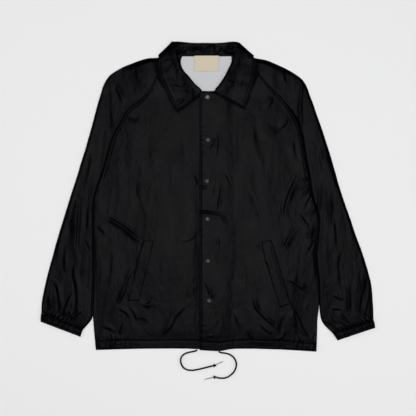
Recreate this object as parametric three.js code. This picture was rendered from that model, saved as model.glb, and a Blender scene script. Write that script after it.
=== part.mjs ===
// A snap-front coach jacket of nylon, lying face up on a flat surface: raglan sleeves, folded shirt collar,
// elastic cuffs, two slanted welt pockets, six snaps and a drawcord in the hem.
// Millimetres. X runs across the jacket, Y from hem to collar, Z up from the surface. Left and right are the wearer's.
import * as THREE from "three";

// Cloth
const wall = 1.2; // shell cloth, doubled by its seam allowances
const seamGap = 0.3; // between two pieces at a seam, and between cloth and what lies on it
const layer = wall + seamGap; // height that one cloth adds to a stack
const trimWall = 1.0; // lining and label
const cuffWall = 2.0; // elastic inside its casing
const upperTop = layer + wall; // top of a front or sleeve where it lies flat on the back
const sleeveClear = 1.0; // between body edge and sleeve
const bodyPuff = 1.5; // loft of a front over the back
const sleevePuff = 2.4;
const hemDepth = 22; // casing of the drawcord
const hemLift = 0.7;

// Placket
const leftFrontEdge = -21.1; // the left front lies on top
const rightFrontEdge = 37.4; // the right front runs under it to here
const placketLift = layer + 0.2;
const placketFade = 34; // the left front comes down to the back over this width

// Collar and neck
const collarBackWidth = 132; // half width of the back fall under the jacket
const collarBackEdge = 322; // lower edge of the back fall
const neckFade = 36; // the back comes down beside the fall over this width
const upperSpread = 30; // the fronts and sleeves rise this much sooner than the back
const neckCentre = { x: -1, y: 330 };
const foldFree = 146; // no folds this near to the neck centre
const foldFull = 190; // full folds past here
const leafClear = 0.5; // between the collar's leaf and the front
const rollLift = 2.2; // height of the roll along the collar's fold

// Trim
const snapDiameter = 14.5;
const snapHeight = 2.6;
const labelWidth = 63;
const labelTop = 366.2;
const labelLength = 41;
const cordDiameter = 4.4;
const knotRadius = 4;
const tipRadius = 1.1;
const cuffHeight = 7.4;
const cuffWaves = 13; // gathers across one side of a cuff
const cuffWave = 0.5;

// Counts of the grids
const raglanSteps = 13;
const sideSteps = 13;
const frontColumns = 14;
const backColumns = 8;
const armSteps = 17; // from the underarm to the cuff
const sleeveTopColumns = 9;
const sleeveFoldColumns = 3;
const sleeveBackColumns = 3;

const table = (names, rows) =>
  rows.map((row) => Object.fromEntries(names.map((name, i) => [name, row[i]])));

// Sleeves: a row for each line across the arm. The seam is the front raglan seam down to the underarm and then
// the underarm edge, the fold is the outline, and the back is the raglan seam underneath.
const armColumns = ["seamX", "seamY", "foldX", "foldY", "backX", "backY"];
const underarmRow = 10;
const sleeveRightRows = table(armColumns, [
  [-92.6, 345, -101.7, 367, -95.2, 355.4],
  [-113.4, 326.8, -131.6, 360.9, -118.6, 339.8],
  [-134.2, 308.6, -157.6, 359, -142, 321.6],
  [-149.8, 277.4, -191.4, 348.1, -162.8, 298.2],
  [-175.8, 250.1, -225.2, 333.8, -188.8, 274.8],
  [-207, 225.4, -253.8, 315.1, -214.8, 248.8],
  [-225.2, 194.2, -270.2, 290.4, -233, 217.6],
  [-244.7, 157.8, -280.3, 259.2, -249.9, 173.4],
  [-259, 113.6, -294.1, 209.8, -261.6, 121.4],
  [-269.4, 74.6, -307.4, 160.4, -269.6, 77.2],
  [-277.2, 51.2, -318.5, 121.4, -277.2, 51.2],
  [-287.6, 20, -329.2, 87.6, -287.6, 20],
  [-295.9, -11.2, -342.2, 44.7, -295.9, -11.2],
  [-297, -73.6, -361.7, -16.4, -297, -73.6],
  [-296.4, -151.6, -386.4, -97, -296.4, -151.6],
  [-296.4, -229.6, -408.5, -175, -296.4, -229.6],
  [-298, -281.6, -423.8, -237.4, -298, -281.6],
  [-299.8, -315.4, -430.9, -276.4, -299.8, -315.4],
  [-323, -344.8, -432.2, -301.1, -323, -344.8],
]);
const sleeveLeftRows = table(armColumns, [
  [90.7, 350.2, 99, 366.4, 93.3, 359],
  [110.2, 338.5, 124.6, 359.8, 115.4, 342.4],
  [128.4, 324.2, 151.8, 354.6, 138.8, 324.2],
  [147.9, 302.1, 180.4, 343.2, 162.2, 300.8],
  [170, 277.4, 211.6, 328.4, 185.6, 272.2],
  [194.7, 252.7, 240.2, 309.6, 209, 243.6],
  [216.8, 224.1, 255.8, 289.6, 227.2, 209.8],
  [233.7, 195.5, 268.8, 255.3, 240.2, 170.8],
  [245.4, 155.2, 285.7, 208.5, 250.6, 124],
  [253.2, 103.2, 302.6, 159.1, 258.4, 79.8],
  [263.6, 51.2, 319.5, 105.8, 263.6, 51.2],
  [268.8, 12.2, 334.6, 52.5, 268.8, 12.2],
  [278.7, -24.2, 349.4, 4.4, 278.7, -24.2],
  [288, -60.6, 366.3, -45, 288, -60.6],
  [284.1, -120.4, 387.1, -104.8, 284.1, -120.4],
  [280.8, -156.8, 401.4, -145.1, 280.8, -156.8],
  [287.5, -224.4, 423.5, -219.2, 287.5, -224.4],
  [289.6, -279, 428.7, -268.6, 289.6, -279],
  [297.4, -324.5, 430.5, -297.2, 297.4, -324.5],
  [324.7, -354.4, 430.8, -318.8, 324.7, -354.4],
]);

// Where the body's side edge goes once the sleeve has left it, down to the hem's corner.
const sideEndRight = { lastSleeveRow: 16, points: [[-297.6, -315.4], [-294.1, -359.6], [-290.2, -398.6]] };
const sideEndLeft = { lastSleeveRow: 17, points: [[285.6, -318], [284.4, -360], [282.6, -402.8]] };

// Edges of the body's panels as short lists of x, y.
const hemRight = [[rightFrontEdge, -395.7], [-22.4, -396], [-84.8, -393.9], [-149.8, -394.7], [-240.8, -395.5], [-290.2, -398.6]];
const hemLeft = [[leftFrontEdge, -398.3], [6.2, -400.4], [32.2, -400.9], [58.2, -396.5], [97.2, -394.4], [149.2, -396], [214.2, -398.1], [282.6, -402.8]];
const hemBack = [[-289.2, -397.2], [-150, -393.6], [0, -394], [150, -394.4], [281.6, -401.4]];
const neckRight = [[rightFrontEdge, 256.6], [-6.8, 261.8], [-35.4, 272.2], [-61.4, 290.4], [-82.2, 316.4], [-92.6, 345]];
const neckLeft = [[leftFrontEdge, 274.8], [16.6, 274.8], [37.4, 282.6], [63.4, 306], [81.6, 332], [90.7, 350.2]];
const neckBack = [[-95.2, 355.4], [-83.5, 360.6], [-66.6, 365.8], [-40.6, 368.4], [37.4, 368.4], [63.4, 365.8], [79, 361.9], [93.3, 359]];

// Collar stand: a band from the neck seam to the fold. It lies outwards behind the neck and turns over at each
// shoulder to lie inwards along a front, so it is three flat pieces. Rise is 1 where it lies on the back panel.
const standColumns = ["seamX", "seamY", "foldX", "foldY", "rise"];
const standRightRows = table(standColumns, [
  [-23.4, 270.4, -16.4, 276.4, 1],
  [-37.4, 276, -32.8, 292.2, 1],
  [-58.6, 293.5, -50.2, 312.8, 1],
  [-78.6, 318.8, -64.5, 329.4, 1],
  [-88, 342.4, -71.3, 348.9, 1],
  [-90.2, 355.4, -77.5, 371, 1],
]);
const standBackRows = table(standColumns, [
  [-84, 366.6, -85.4, 396.4, 0],
  [-70, 369, -70, 398, 0],
  [-45.8, 370.5, -45.8, 398.6, 0],
  [-1.6, 370.7, -1.6, 398, 0],
  [37.4, 370.5, 37.4, 398.6, 0],
  [60, 369.4, 62, 398.6, 0],
  [74, 366.8, 75.6, 396, 0],
]);
const standLeftRows = table(standColumns, [
  [86.6, 357.5, 69.6, 368.4, 1],
  [84.6, 343.7, 62.9, 348.9, 1],
  [75.8, 326.8, 53, 328.1, 1],
  [60.2, 306.6, 41.6, 306, 1],
  [35.6, 284.6, 21.8, 280, 1],
]);

// Collar fall: from the fold to the outer edge. Turn is 1 on the leaves, -1 under the back and 0 at the outline.
const fallRows = table(["foldX", "foldY", "edgeX", "edgeY", "turn"], [
  [-22.6, 264.4, -77, 224.1, 1],
  [-16.7, 277.4, -86.6, 234.5, 1],
  [-34.1, 294.3, -97.8, 255.3, 1],
  [-52.3, 315.1, -110.8, 282.6, 1],
  [-67.4, 330.7, -121.2, 306, 1],
  [-73.6, 350.2, -127.4, 334.6, 1],
  [-79.6, 371, -129, 352.8, 1],
  [-84.2, 389.2, -127.4, 361.6, 0.8],
  [-92.6, 401.2, -128.2, 368, 0],
  [-91.4, 402.2, -127.4, 366.4, -0.75],
  [-88.4, 402.6, -125.6, 362.4, -1],
  [-84, 402.4, -118, 349, -1],
  [-69.2, 402.2, -92.6, 332, -1],
  [-38, 399.3, -45.8, 328.1, -1],
  [-1.6, 399.1, -1.6, 326.8, -1],
  [34.8, 399.6, 42.6, 328.1, -1],
  [60.8, 402.2, 84.2, 332, -1],
  [73, 402, 109, 350, -1],
  [78, 401.2, 116.8, 361.6, -1],
  [81.2, 399.8, 118.6, 365.4, -0.75],
  [82.9, 398, 119.6, 367.2, 0],
  [75.4, 387.9, 119.9, 361.4, 0.8],
  [69.4, 371, 123.2, 351.5, 1],
  [63.4, 348.9, 123.2, 328.1, 1],
  [53.8, 328.1, 119.3, 303.4, 1],
  [42.3, 306, 112.8, 281.3, 1],
  [25.7, 283.9, 105, 257.9, 1],
  [16.6, 274, 95.9, 231.9, 1],
]);

// Lining where the neck shows it: a row for each height.
const liningRows = table(["y", "leftX", "rightX"], [
  [272.6, -13.5, 19.4],
  [280, -17.6, 20],
  [292, -31.4, 30],
  [312.8, -48.8, 43.8],
  [329.4, -63, 52],
  [348.9, -69.8, 61.4],
  [364.4, -66, 62],
]);

// Welts of the slanted pockets, from top to bottom. The outer edge is the opening.
const weltColumns = ["innerX", "innerY", "outerX", "outerY"];
const weltRightRows = table(weltColumns, [
  [-139.4, -113.9, -168, -113.9],
  [-149, -154.2, -178.4, -154.2],
  [-158.9, -193.2, -188.8, -193.2],
  [-168.5, -232.2, -198.7, -232.2],
  [-177.1, -271.2, -208.3, -271.2],
]);
const weltLeftRows = table(weltColumns, [
  [138.8, -116.8, 166.1, -112.6],
  [146.1, -154.2, 179.1, -152.9],
  [157, -190.6, 189, -190.6],
  [170, -234.8, 202.5, -232.2],
  [188.2, -288.1, 216.8, -279],
]);

const cuffColumns = ["innerX", "innerY", "outerX", "outerY"];
const cuffRightRows = table(cuffColumns, [
  [-323.2, -345.3, -432.4, -301.6],
  [-327.5, -355, -433.8, -313.5],
  [-330.5, -364.3, -433.6, -325],
]);
const cuffLeftRows = table(cuffColumns, [
  [324.9, -354.9, 431, -319.3],
  [331.8, -364.6, 434, -330],
  [337.7, -373.6, 435.2, -340.9],
]);

const snapPlaces = table(["x", "y"], [[-0.3, 258.4], [1, 147.4], [-1.6, 40.8], [-0.3, -58], [1, -167.2], [3.6, -269.9]]);

// Largest folds of the cloth: a straight ridge, or a trough where the height is below zero.
const folds = table(["x1", "y1", "x2", "y2", "width", "height"], [
  [-266.8, -47.6, -173.2, -112.6, 44, 2.6],
  [-191, 210, -150, 200, 50, -1.2],
  [-51, -281.6, -121.2, -364.8, 40, 1.8],
  [-110.8, -120, -106, -250, 64, 1.8],
  [-238.2, -294.6, -188.8, -177.6, 40, 1.6],
  [-120, 150, -130, 20, 70, 1.3],
  [-40.6, -34.6, 47.8, -78.8, 30, 2.2],
  [110.2, 225.4, 141.4, 82.4, 50, 2.2],
  [110.2, 30.4, 141.4, -47.6, 46, 2],
  [240.2, 69.4, 196, -65.8, 42, 2.2],
  [235, -71, 193.4, -141.2, 40, 2.2],
  [128.4, -281.6, 172.6, -375.2, 40, 2.2],
  [216.8, -279, 262, -370, 36, 2.2],
  [-339.6, -8.6, -340.9, -284.6, 46, 2],
  [-404.6, -200, -385.1, -290, 36, 1.8],
  [-243.4, 298.2, -217.4, 241, 40, 1.8],
  [-261.6, 287.8, -256, 170, 34, -1.6],
  [361.1, -190, 361.1, -300, 38, 2.2],
  [401.4, -170, 385.8, -305, 34, 1.8],
  [320.8, -8.6, 333.8, -130.8, 48, 1.8],
  [248, 295.6, 246, 190, 34, -1.6],
]);

// Drawcord ends, as points chosen by hand along the surface.
const cordRightRoute = [
  [-27.4, -397.9], [-29.2, -400.4], [-35, -402.2], [-43, -403.2], [-53.6, -405.6], [-64, -410.6], [-69.2, -418.1],
  [-71, -427.2], [-67.9, -437.6], [-61.4, -446.7], [-51, -450.6], [-40.6, -451.9], [-25, -449.3], [-4.2, -444.1], [13.4, -439.3],
];
const cordLeftRoute = [
  [29.1, -402.2], [31.7, -404.8], [38, -406.1], [46, -406.6], [55.6, -408.8], [66, -414.7], [72.5, -424.6],
  [75.4, -435], [73.8, -445.4], [68.6, -455.8], [60.8, -463.6], [50.4, -470.1], [40, -472.2], [31.2, -471.5],
  [23.2, -469.9],
];
const cordSteps = 34;
const tipRightEnds = { from: [21.5, -436.9], to: [40, -428.2] };
const tipLeftEnds = { from: [14.8, -469.7], to: [-8.1, -475] };
const knotRightPlace = [17.9, -438.6];
const knotLeftPlace = [18.7, -468.8];

const clamp = THREE.MathUtils.clamp;
const lerp = THREE.MathUtils.lerp;
// Soft step from 0 at low to 1 at high, where high may be the smaller.
function smooth(value, low, high) {
  const t = clamp((value - low) / (high - low), 0, 1);
  return t * t * (3 - 2 * t);
}

// Smooth curve through points: each stretch is a cubic whose slope at a point is half the step between its neighbours.
function through(points, t) {
  const last = points.length - 1;
  const place = clamp(t, 0, 1) * last;
  const i = Math.min(Math.floor(place), last - 1);
  const f = place - i;
  const before = points[Math.max(i - 1, 0)];
  const a = points[i];
  const b = points[i + 1];
  const after = points[Math.min(i + 2, last)];
  return a.map((value, k) => {
    const slopeA = (b[k] - before[k]) / 2;
    const slopeB = (after[k] - value) / 2;
    const rise = b[k] - value;
    return value + f * (slopeA + f * (3 * rise - 2 * slopeA - slopeB + f * (slopeA + slopeB - 2 * rise)));
  });
}

// The same curve as count + 1 points at even lengths along it.
function evenly(points, count) {
  const fine = Array.from({ length: 401 }, (_, i) => through(points, i / 400));
  const lengths = [0];
  for (let i = 1; i < fine.length; i++) {
    lengths.push(lengths[i - 1] + Math.hypot(fine[i][0] - fine[i - 1][0], fine[i][1] - fine[i - 1][1]));
  }
  const total = lengths[lengths.length - 1];
  return Array.from({ length: count + 1 }, (_, n) => {
    const want = (total * n) / count;
    let i = 1;
    while (i < lengths.length - 1 && lengths[i] < want) i++;
    const f = (want - lengths[i - 1]) / (lengths[i] - lengths[i - 1] || 1);
    return fine[i].map((value, k) => lerp(fine[i - 1][k], value, f));
  });
}

// Closed solid from an outer and an inner grid of points, rims included. A ring joins its last column to its first.
function clothGeometry(outer, inner, ring = false) {
  const rows = outer.length;
  const columns = outer[0].length;
  const positions = [...outer.flat(), ...inner.flat()].flat();
  const back = rows * columns;
  const at = (i, j) => i * columns + (j % columns);
  const faces = [];
  const quad = (a, b, c, d) => faces.push(a, b, c, a, c, d);
  const lastColumn = ring ? columns : columns - 1;
  for (let i = 0; i < rows - 1; i++) {
    for (let j = 0; j < lastColumn; j++) {
      quad(at(i, j), at(i, j + 1), at(i + 1, j + 1), at(i + 1, j));
      quad(back + at(i, j), back + at(i + 1, j), back + at(i + 1, j + 1), back + at(i, j + 1));
    }
  }
  for (let j = 0; j < lastColumn; j++) {
    quad(at(0, j), back + at(0, j), back + at(0, j + 1), at(0, j + 1));
    quad(at(rows - 1, j + 1), back + at(rows - 1, j + 1), back + at(rows - 1, j), at(rows - 1, j));
  }
  if (!ring) {
    for (let i = 0; i < rows - 1; i++) {
      quad(at(i + 1, 0), back + at(i + 1, 0), back + at(i, 0), at(i, 0));
      quad(at(i, columns - 1), back + at(i, columns - 1), back + at(i + 1, columns - 1), at(i + 1, columns - 1));
    }
  }
  let volume = 0;
  const a = new THREE.Vector3();
  const b = new THREE.Vector3();
  const c = new THREE.Vector3();
  for (let i = 0; i < faces.length; i += 3) {
    a.fromArray(positions, faces[i] * 3);
    b.fromArray(positions, faces[i + 1] * 3);
    c.fromArray(positions, faces[i + 2] * 3);
    volume += a.dot(b.cross(c));
  }
  if (volume < 0) {
    faces.reverse();
  }
  const geometry = new THREE.BufferGeometry();
  geometry.setAttribute("position", new THREE.Float32BufferAttribute(positions, 3));
  geometry.setIndex(faces);
  geometry.computeVertexNormals();
  return geometry;
}

// Heights of the cloth

// The back of the jacket rises over the collar's fall, which lies under it. Upper cloth rises sooner, by its spread.
function neckLift(x, y, spread = 0) {
  const aside = smooth(Math.abs(x), collarBackWidth + spread, collarBackWidth + neckFade + spread);
  const below = smooth(y, collarBackEdge - neckFade - spread, collarBackEdge - 4 - spread);
  return layer * (1 - aside) * below;
}

function foldHeight(x, y) {
  let height = 0;
  for (const fold of folds) {
    const alongX = fold.x2 - fold.x1;
    const alongY = fold.y2 - fold.y1;
    const squared = alongX * alongX + alongY * alongY;
    const t = ((x - fold.x1) * alongX + (y - fold.y1) * alongY) / squared;
    const near = clamp(t, 0, 1);
    const far = Math.hypot(x - fold.x1 - near * alongX, y - fold.y1 - near * alongY);
    height += fold.height * Math.exp(-(((2.4 * far) / fold.width) ** 2));
  }
  const away = Math.hypot(x - neckCentre.x, y - neckCentre.y);
  return height * smooth(away, foldFree, foldFull);
}

const backTop = (x, y) => wall + neckLift(x, y);
const overlapLift = (x) => placketLift * (1 - smooth(x, rightFrontEdge + 3, rightFrontEdge + placketFade));
const hemRise = (x, y, hemY) => hemLift * (1 - smooth(y, hemY + hemDepth - 3, hemY + hemDepth + 3));

// Body panels: a patch between four edges, with even steps along hem and neck.
function patch(bottom, top, left, right) {
  const columns = bottom.length - 1;
  const rows = left.length - 1;
  return left.map((_, i) => {
    const v = i / rows;
    return bottom.map((_, j) => {
      const u = j / columns;
      return [0, 1].map((k) => {
        const across = (1 - u) * left[i][k] + u * right[i][k];
        const along = (1 - v) * bottom[j][k] + v * top[j][k];
        const corners =
          (1 - v) * ((1 - u) * bottom[0][k] + u * bottom[columns][k]) + v * ((1 - u) * top[0][k] + u * top[columns][k]);
        return across + along - corners;
      });
    });
  });
}

const armPoints = (rows, x, y) => rows.map((row) => [row[x], row[y]]);
const raglanPoints = (rows, x, y) => evenly(armPoints(rows, x, y).slice(0, underarmRow + 1), raglanSteps);

// Side edge of the body from hem to underarm, then its raglan seam up to the neck, moved in by half a seam's gap.
function outerEdge(rows, end, x, y, side) {
  const beside = rows
    .slice(underarmRow, end.lastSleeveRow + 1)
    .map((row, i) => [row.seamX - side * sleeveClear * Math.min(i, 1), row.seamY]);
  const lower = evenly([...beside, ...end.points], sideSteps).reverse();
  const upper = raglanPoints(rows, x, y).reverse();
  return [...lower.slice(0, -1), ...upper].map(([px, py]) => [px - side * 0.4 * seamGap, py - 0.3 * seamGap]);
}

function frontGrid(hem, neck, edgeX, rows, end, side) {
  const outer = outerEdge(rows, end, "seamX", "seamY", side);
  const steps = outer.length - 1;
  const bottom = evenly(hem, frontColumns);
  const top = evenly(neck, frontColumns);
  const inner = outer.map((_, i) => [edgeX, lerp(hem[0][1], neck[0][1], i / steps)]);
  const plan = patch(bottom, top, inner, outer);
  return plan.map((row, i) =>
    row.map(([x, y], j) => {
      const u = j / frontColumns;
      const v = i / steps;
      const away = Math.hypot(x - neckCentre.x, y - neckCentre.y);
      const loft = bodyPuff * smooth(u, 1, 0.85) * smooth(v, 0, 0.06) * smooth(away, foldFree, foldFull);
      const edgeEase = smooth(u, 1, 0.88);
      const under = side < 0 ? smooth(x, leftFrontEdge + 8, leftFrontEdge - 22) : 1;
      const lift = side > 0 ? overlapLift(x) : 0;
      const raised = Math.max(0, (loft + foldHeight(x, y) * edgeEase) * under + hemRise(x, y, plan[0][j][1]));
      return [x, y, upperTop + neckLift(x, y, upperSpread) + lift + raised];
    }),
  );
}

const lowered = (grid, depth) => grid.map((row) => row.map(([x, y, z]) => [x, y, z - depth]));

// Height of a panel's own surface at a place: the highest of its corners round that place, so that what lies on it is clear.
function topOf(grid, x, y, reach) {
  let highest = -Infinity;
  let nearest = Infinity;
  let nearestZ = 0;
  for (const [px, py, pz] of grid.flat()) {
    const far = Math.hypot(px - x, py - y);
    if (far < reach) highest = Math.max(highest, pz);
    if (far < nearest) {
      nearest = far;
      nearestZ = pz;
    }
  }
  return Math.max(highest, nearestZ);
}

// Height of a grid's surface at a place, on the triangle that holds it.
function heightOn(grid, x, y) {
  for (let i = 0; i < grid.length - 1; i++) {
    for (let j = 0; j < grid[i].length - 1; j++) {
      for (const [a, b, c] of [
        [grid[i][j], grid[i][j + 1], grid[i + 1][j + 1]],
        [grid[i][j], grid[i + 1][j + 1], grid[i + 1][j]],
      ]) {
        const area = (b[0] - a[0]) * (c[1] - a[1]) - (c[0] - a[0]) * (b[1] - a[1]);
        const s = ((x - a[0]) * (c[1] - a[1]) - (c[0] - a[0]) * (y - a[1])) / area;
        const t = ((b[0] - a[0]) * (y - a[1]) - (x - a[0]) * (b[1] - a[1])) / area;
        if (s >= -1e-6 && t >= -1e-6 && s + t <= 1 + 1e-6) {
          return a[2] + s * (b[2] - a[2]) + t * (c[2] - a[2]);
        }
      }
    }
  }
  return topOf(grid, x, y, 12);
}

// Sleeves: a cloth that starts at the front seam, goes over the top to the outer fold and back underneath.
function sleeveGrids(rows, side) {
  const upper = raglanPoints(rows, "seamX", "seamY");
  const upperBack = raglanPoints(rows, "backX", "backY");
  const upperFold = raglanPoints(rows, "foldX", "foldY");
  const values = rows.slice(underarmRow).map((row) => armColumns.map((name) => row[name]));
  const lower = Array.from({ length: armSteps }, (_, i) => through(values, (i + 1) / armSteps));
  const stations = [
    ...upper.map((seam, i) => ({ seam, fold: upperFold[i], back: upperBack[i], below: 0 })),
    ...lower.map((v, i) => ({ seam: v.slice(0, 2), fold: v.slice(2, 4), back: v.slice(4, 6), below: (i + 1) / armSteps })),
  ];
  const outer = [];
  const inner = [];
  for (const { seam, fold, back, below } of stations) {
    const width = Math.hypot(fold[0] - seam[0], fold[1] - seam[1]);
    const cuff = smooth(below, 0.93, 1);
    const height = lerp(upperTop, cuffHeight - 1, cuff * 0.8);
    const radius = height / 2;
    const shift = [side * 0.4 * seamGap, 0.3 * seamGap];
    const outerRow = [];
    const innerRow = [];
    const push = (start, share, z, innerShare, innerZ, spread = upperSpread) => {
      const x = lerp(start[0] + shift[0], fold[0], share);
      const y = lerp(start[1] + shift[1], fold[1], share);
      const ix = lerp(start[0] + shift[0], fold[0], innerShare);
      const iy = lerp(start[1] + shift[1], fold[1], innerShare);
      const lift = neckLift(x, y, spread);
      outerRow.push([x, y, z(x, y) + lift]);
      innerRow.push([ix, iy, innerZ(ix, iy) + lift]);
    };
    const crown = 1 - radius / width; // where the flat top ends and the fold begins
    for (let j = 0; j <= sleeveTopColumns; j++) {
      const s = j / sleeveTopColumns;
      const share = s * crown;
      const away = (x, y) => Math.hypot(x - neckCentre.x, y - neckCentre.y);
      const ease = smooth(s, 0, 0.18) * smooth(s, 1, 0.75);
      const gathers = cuff * 0.5 * Math.cos(Math.PI * j);
      const z = (x, y) =>
        height + Math.max(0, ease * (sleevePuff * smooth(away(x, y), foldFree, foldFull) * (1 - cuff) + foldHeight(x, y)) + ease * gathers);
      push(seam, share, z, share, (x, y) => z(x, y) - wall);
    }
    for (let j = 1; j < sleeveFoldColumns; j++) {
      const angle = (Math.PI * j) / sleeveFoldColumns;
      const out = Math.sin(angle) * radius;
      const up = radius + Math.cos(angle) * radius;
      const innerOut = Math.sin(angle) * Math.max(radius - wall, 0.1);
      const innerUp = radius + Math.cos(angle) * Math.max(radius - wall, 0.1);
      push(seam, crown + out / width, () => up, crown + innerOut / width, () => innerUp);
    }
    for (let j = 0; j <= sleeveBackColumns; j++) {
      const share = crown * (1 - j / sleeveBackColumns);
      push(back, share, () => 0, share, () => wall, 0);
    }
    outer.push(outerRow);
    inner.push(innerRow);
  }
  return { outer, inner };
}

// Elastic cuff: a flattened ring, gathered into even waves on top.
function cuffGrids(rows) {
  const around = 4 * cuffWaves;
  const section = (row, depth) =>
    Array.from({ length: around }, (_, j) => {
      const angle = (2 * Math.PI * j) / around;
      const half = Math.hypot(row.outerX - row.innerX, row.outerY - row.innerY) / 2;
      const cos = Math.cos(angle);
      const sin = Math.sin(angle);
      const across = Math.sign(cos) * Math.abs(cos) ** 0.55 * (1 - depth / half);
      const flat = Math.sign(sin) * Math.abs(sin) ** 0.45;
      const wave = sin > 0.2 ? (j % 2 ? 1 : -1) * cuffWave : 0;
      const z = cuffHeight / 2 + flat * (cuffHeight / 2 - depth) + wave;
      return [lerp(row.innerX, row.outerX, (1 + across) / 2), lerp(row.innerY, row.outerY, (1 + across) / 2), z];
    });
  return { outer: rows.map((row) => section(row, 0)), inner: rows.map((row) => section(row, cuffWall)) };
}

// Collar fall: leaves on top, turned round the outline to lie under the back.
const fallColumns = 4;
function fallGrids() {
  const leafTop = (x, y, share) => {
    const placket = placketLift * smooth(x, -70, -30) * (1 - smooth(x, rightFrontEdge + 3, rightFrontEdge + placketFade));
    const roll = rollLift * (1 - smooth(share, 0.05, 0.5));
    return upperTop + neckLift(x, y, upperSpread) + placket + leafClear + wall + roll;
  };
  const values = fallRows.map((row) => [row.foldX, row.foldY, row.edgeX, row.edgeY]);
  const outer = values.map(([foldX, foldY, edgeX, edgeY], i) =>
    Array.from({ length: fallColumns + 1 }, (_, j) => {
      const share = j / fallColumns;
      const x = lerp(foldX, edgeX, share);
      const y = lerp(foldY, edgeY, share);
      const turn = fallRows[i].turn;
      return [x, y, leafTop(x, y, share) * ((1 + turn) / 2)];
    }),
  );
  return { outer, inner: insetGrid(outer, wall) };
}

// A grid moved inwards along its own normals.
function insetGrid(grid, depth) {
  const vector = (p) => new THREE.Vector3(...p);
  return grid.map((row, i) =>
    row.map((point, j) => {
      const down = vector(grid[Math.min(i + 1, grid.length - 1)][j]).sub(vector(grid[Math.max(i - 1, 0)][j]));
      const across = vector(row[Math.min(j + 1, row.length - 1)]).sub(vector(row[Math.max(j - 1, 0)]));
      const normal = across.cross(down).normalize();
      return vector(point).addScaledVector(normal, depth).toArray();
    }),
  );
}

function standGrids(rows) {
  const outer = rows.map((row) =>
    [0, 0.5, 1].map((share) => {
      const x = lerp(row.seamX, row.foldX, share);
      const y = lerp(row.seamY, row.foldY, share);
      return [x, y, upperTop + row.rise * neckLift(x, y, upperSpread)];
    }),
  );
  return { outer, inner: lowered(outer, wall) };
}

const liningColumns = 8;
function liningGrids() {
  const outer = liningRows.map((row) =>
    Array.from({ length: liningColumns + 1 }, (_, j) => {
      const x = lerp(row.leftX, row.rightX, j / liningColumns);
      return [x, row.y, wall + neckLift(x, row.y, upperSpread) + seamGap + trimWall];
    }),
  );
  return { outer, inner: lowered(outer, trimWall) };
}

function labelGrids() {
  const outer = [0, 0.5, 1].map((down) =>
    [-0.5, 0, 0.5].map((across) => {
      const x = across * labelWidth - 3;
      const y = labelTop - down * labelLength;
      return [x, y, wall + neckLift(x, y, upperSpread) + 2 * (seamGap + trimWall) + 0.1];
    }),
  );
  return { outer, inner: lowered(outer, trimWall) };
}

const weltRise = 0.6;
function weltGrids(rows, front) {
  const outer = rows.map((row) =>
    [0, 0.5, 1].map((share) => {
      const x = lerp(row.innerX, row.outerX, share);
      const y = lerp(row.innerY, row.outerY, share);
      return [x, y, heightOn(front, x, y) + seamGap + weltRise + wall];
    }),
  );
  return { outer, inner: lowered(outer, wall) };
}

// Materials
const shell = { color: 0x151517, roughness: 0.42, metalness: 0 };
const liningCloth = { color: 0xc3c6cc, roughness: 0.8, metalness: 0 };
const labelCloth = { color: 0xe3d5b8, roughness: 0.85, metalness: 0 };
const snapMetal = { color: 0x1b1b1d, roughness: 0.28, metalness: 0.9 };
const cordCloth = { color: 0x101012, roughness: 0.8, metalness: 0 };
const tipPlastic = { color: 0x77777a, roughness: 0.5, metalness: 0 };

const coachJacket = new THREE.Group();
function addPiece(name, geometry, material) {
  const mesh = new THREE.Mesh(geometry, new THREE.MeshStandardMaterial({ side: THREE.DoubleSide, ...material }));
  mesh.name = name;
  coachJacket.add(mesh);
  return mesh;
}
const addCloth = (name, { outer, inner }, material, ring) =>
  addPiece(name, clothGeometry(outer, inner, ring), material);

// Back
const backSide = (rows, end, side) => outerEdge(rows, end, "backX", "backY", side);
const backRightEdge = backSide(sleeveRightRows, sideEndRight, -1);
const backLeftEdge = backSide(sleeveLeftRows, sideEndLeft, 1);
const backOuter = patch(evenly(hemBack, backColumns), evenly(neckBack, backColumns), backRightEdge, backLeftEdge).map((row) =>
  row.map(([x, y]) => [x, y, backTop(x, y)]),
);
addCloth("back", { outer: backOuter, inner: lowered(backOuter, wall) }, shell);

// Fronts and their welts
const frontRight = frontGrid(hemRight, neckRight, rightFrontEdge, sleeveRightRows, sideEndRight, -1);
const frontLeft = frontGrid(hemLeft, neckLeft, leftFrontEdge, sleeveLeftRows, sideEndLeft, 1);
addCloth("front_right", { outer: frontRight, inner: lowered(frontRight, wall) }, shell);
addCloth("front_left", { outer: frontLeft, inner: lowered(frontLeft, wall) }, shell);
addCloth("pocket_welt_right", weltGrids(weltRightRows, frontRight), shell);
addCloth("pocket_welt_left", weltGrids(weltLeftRows, frontLeft), shell);

// Sleeves and cuffs
addCloth("sleeve_right", sleeveGrids(sleeveRightRows, -1), shell);
addCloth("sleeve_left", sleeveGrids(sleeveLeftRows, 1), shell);
addCloth("cuff_right", cuffGrids(cuffRightRows), shell, true);
addCloth("cuff_left", cuffGrids(cuffLeftRows), shell, true);

// Collar, lining and label
addCloth("collar_stand_right", standGrids(standRightRows), shell);
addCloth("collar_stand_back", standGrids(standBackRows), shell);
addCloth("collar_stand_left", standGrids(standLeftRows), shell);
addCloth("collar_fall", fallGrids(), shell);
addCloth("lining_neck", liningGrids(), liningCloth);
addCloth("label", labelGrids(), labelCloth);

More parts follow.
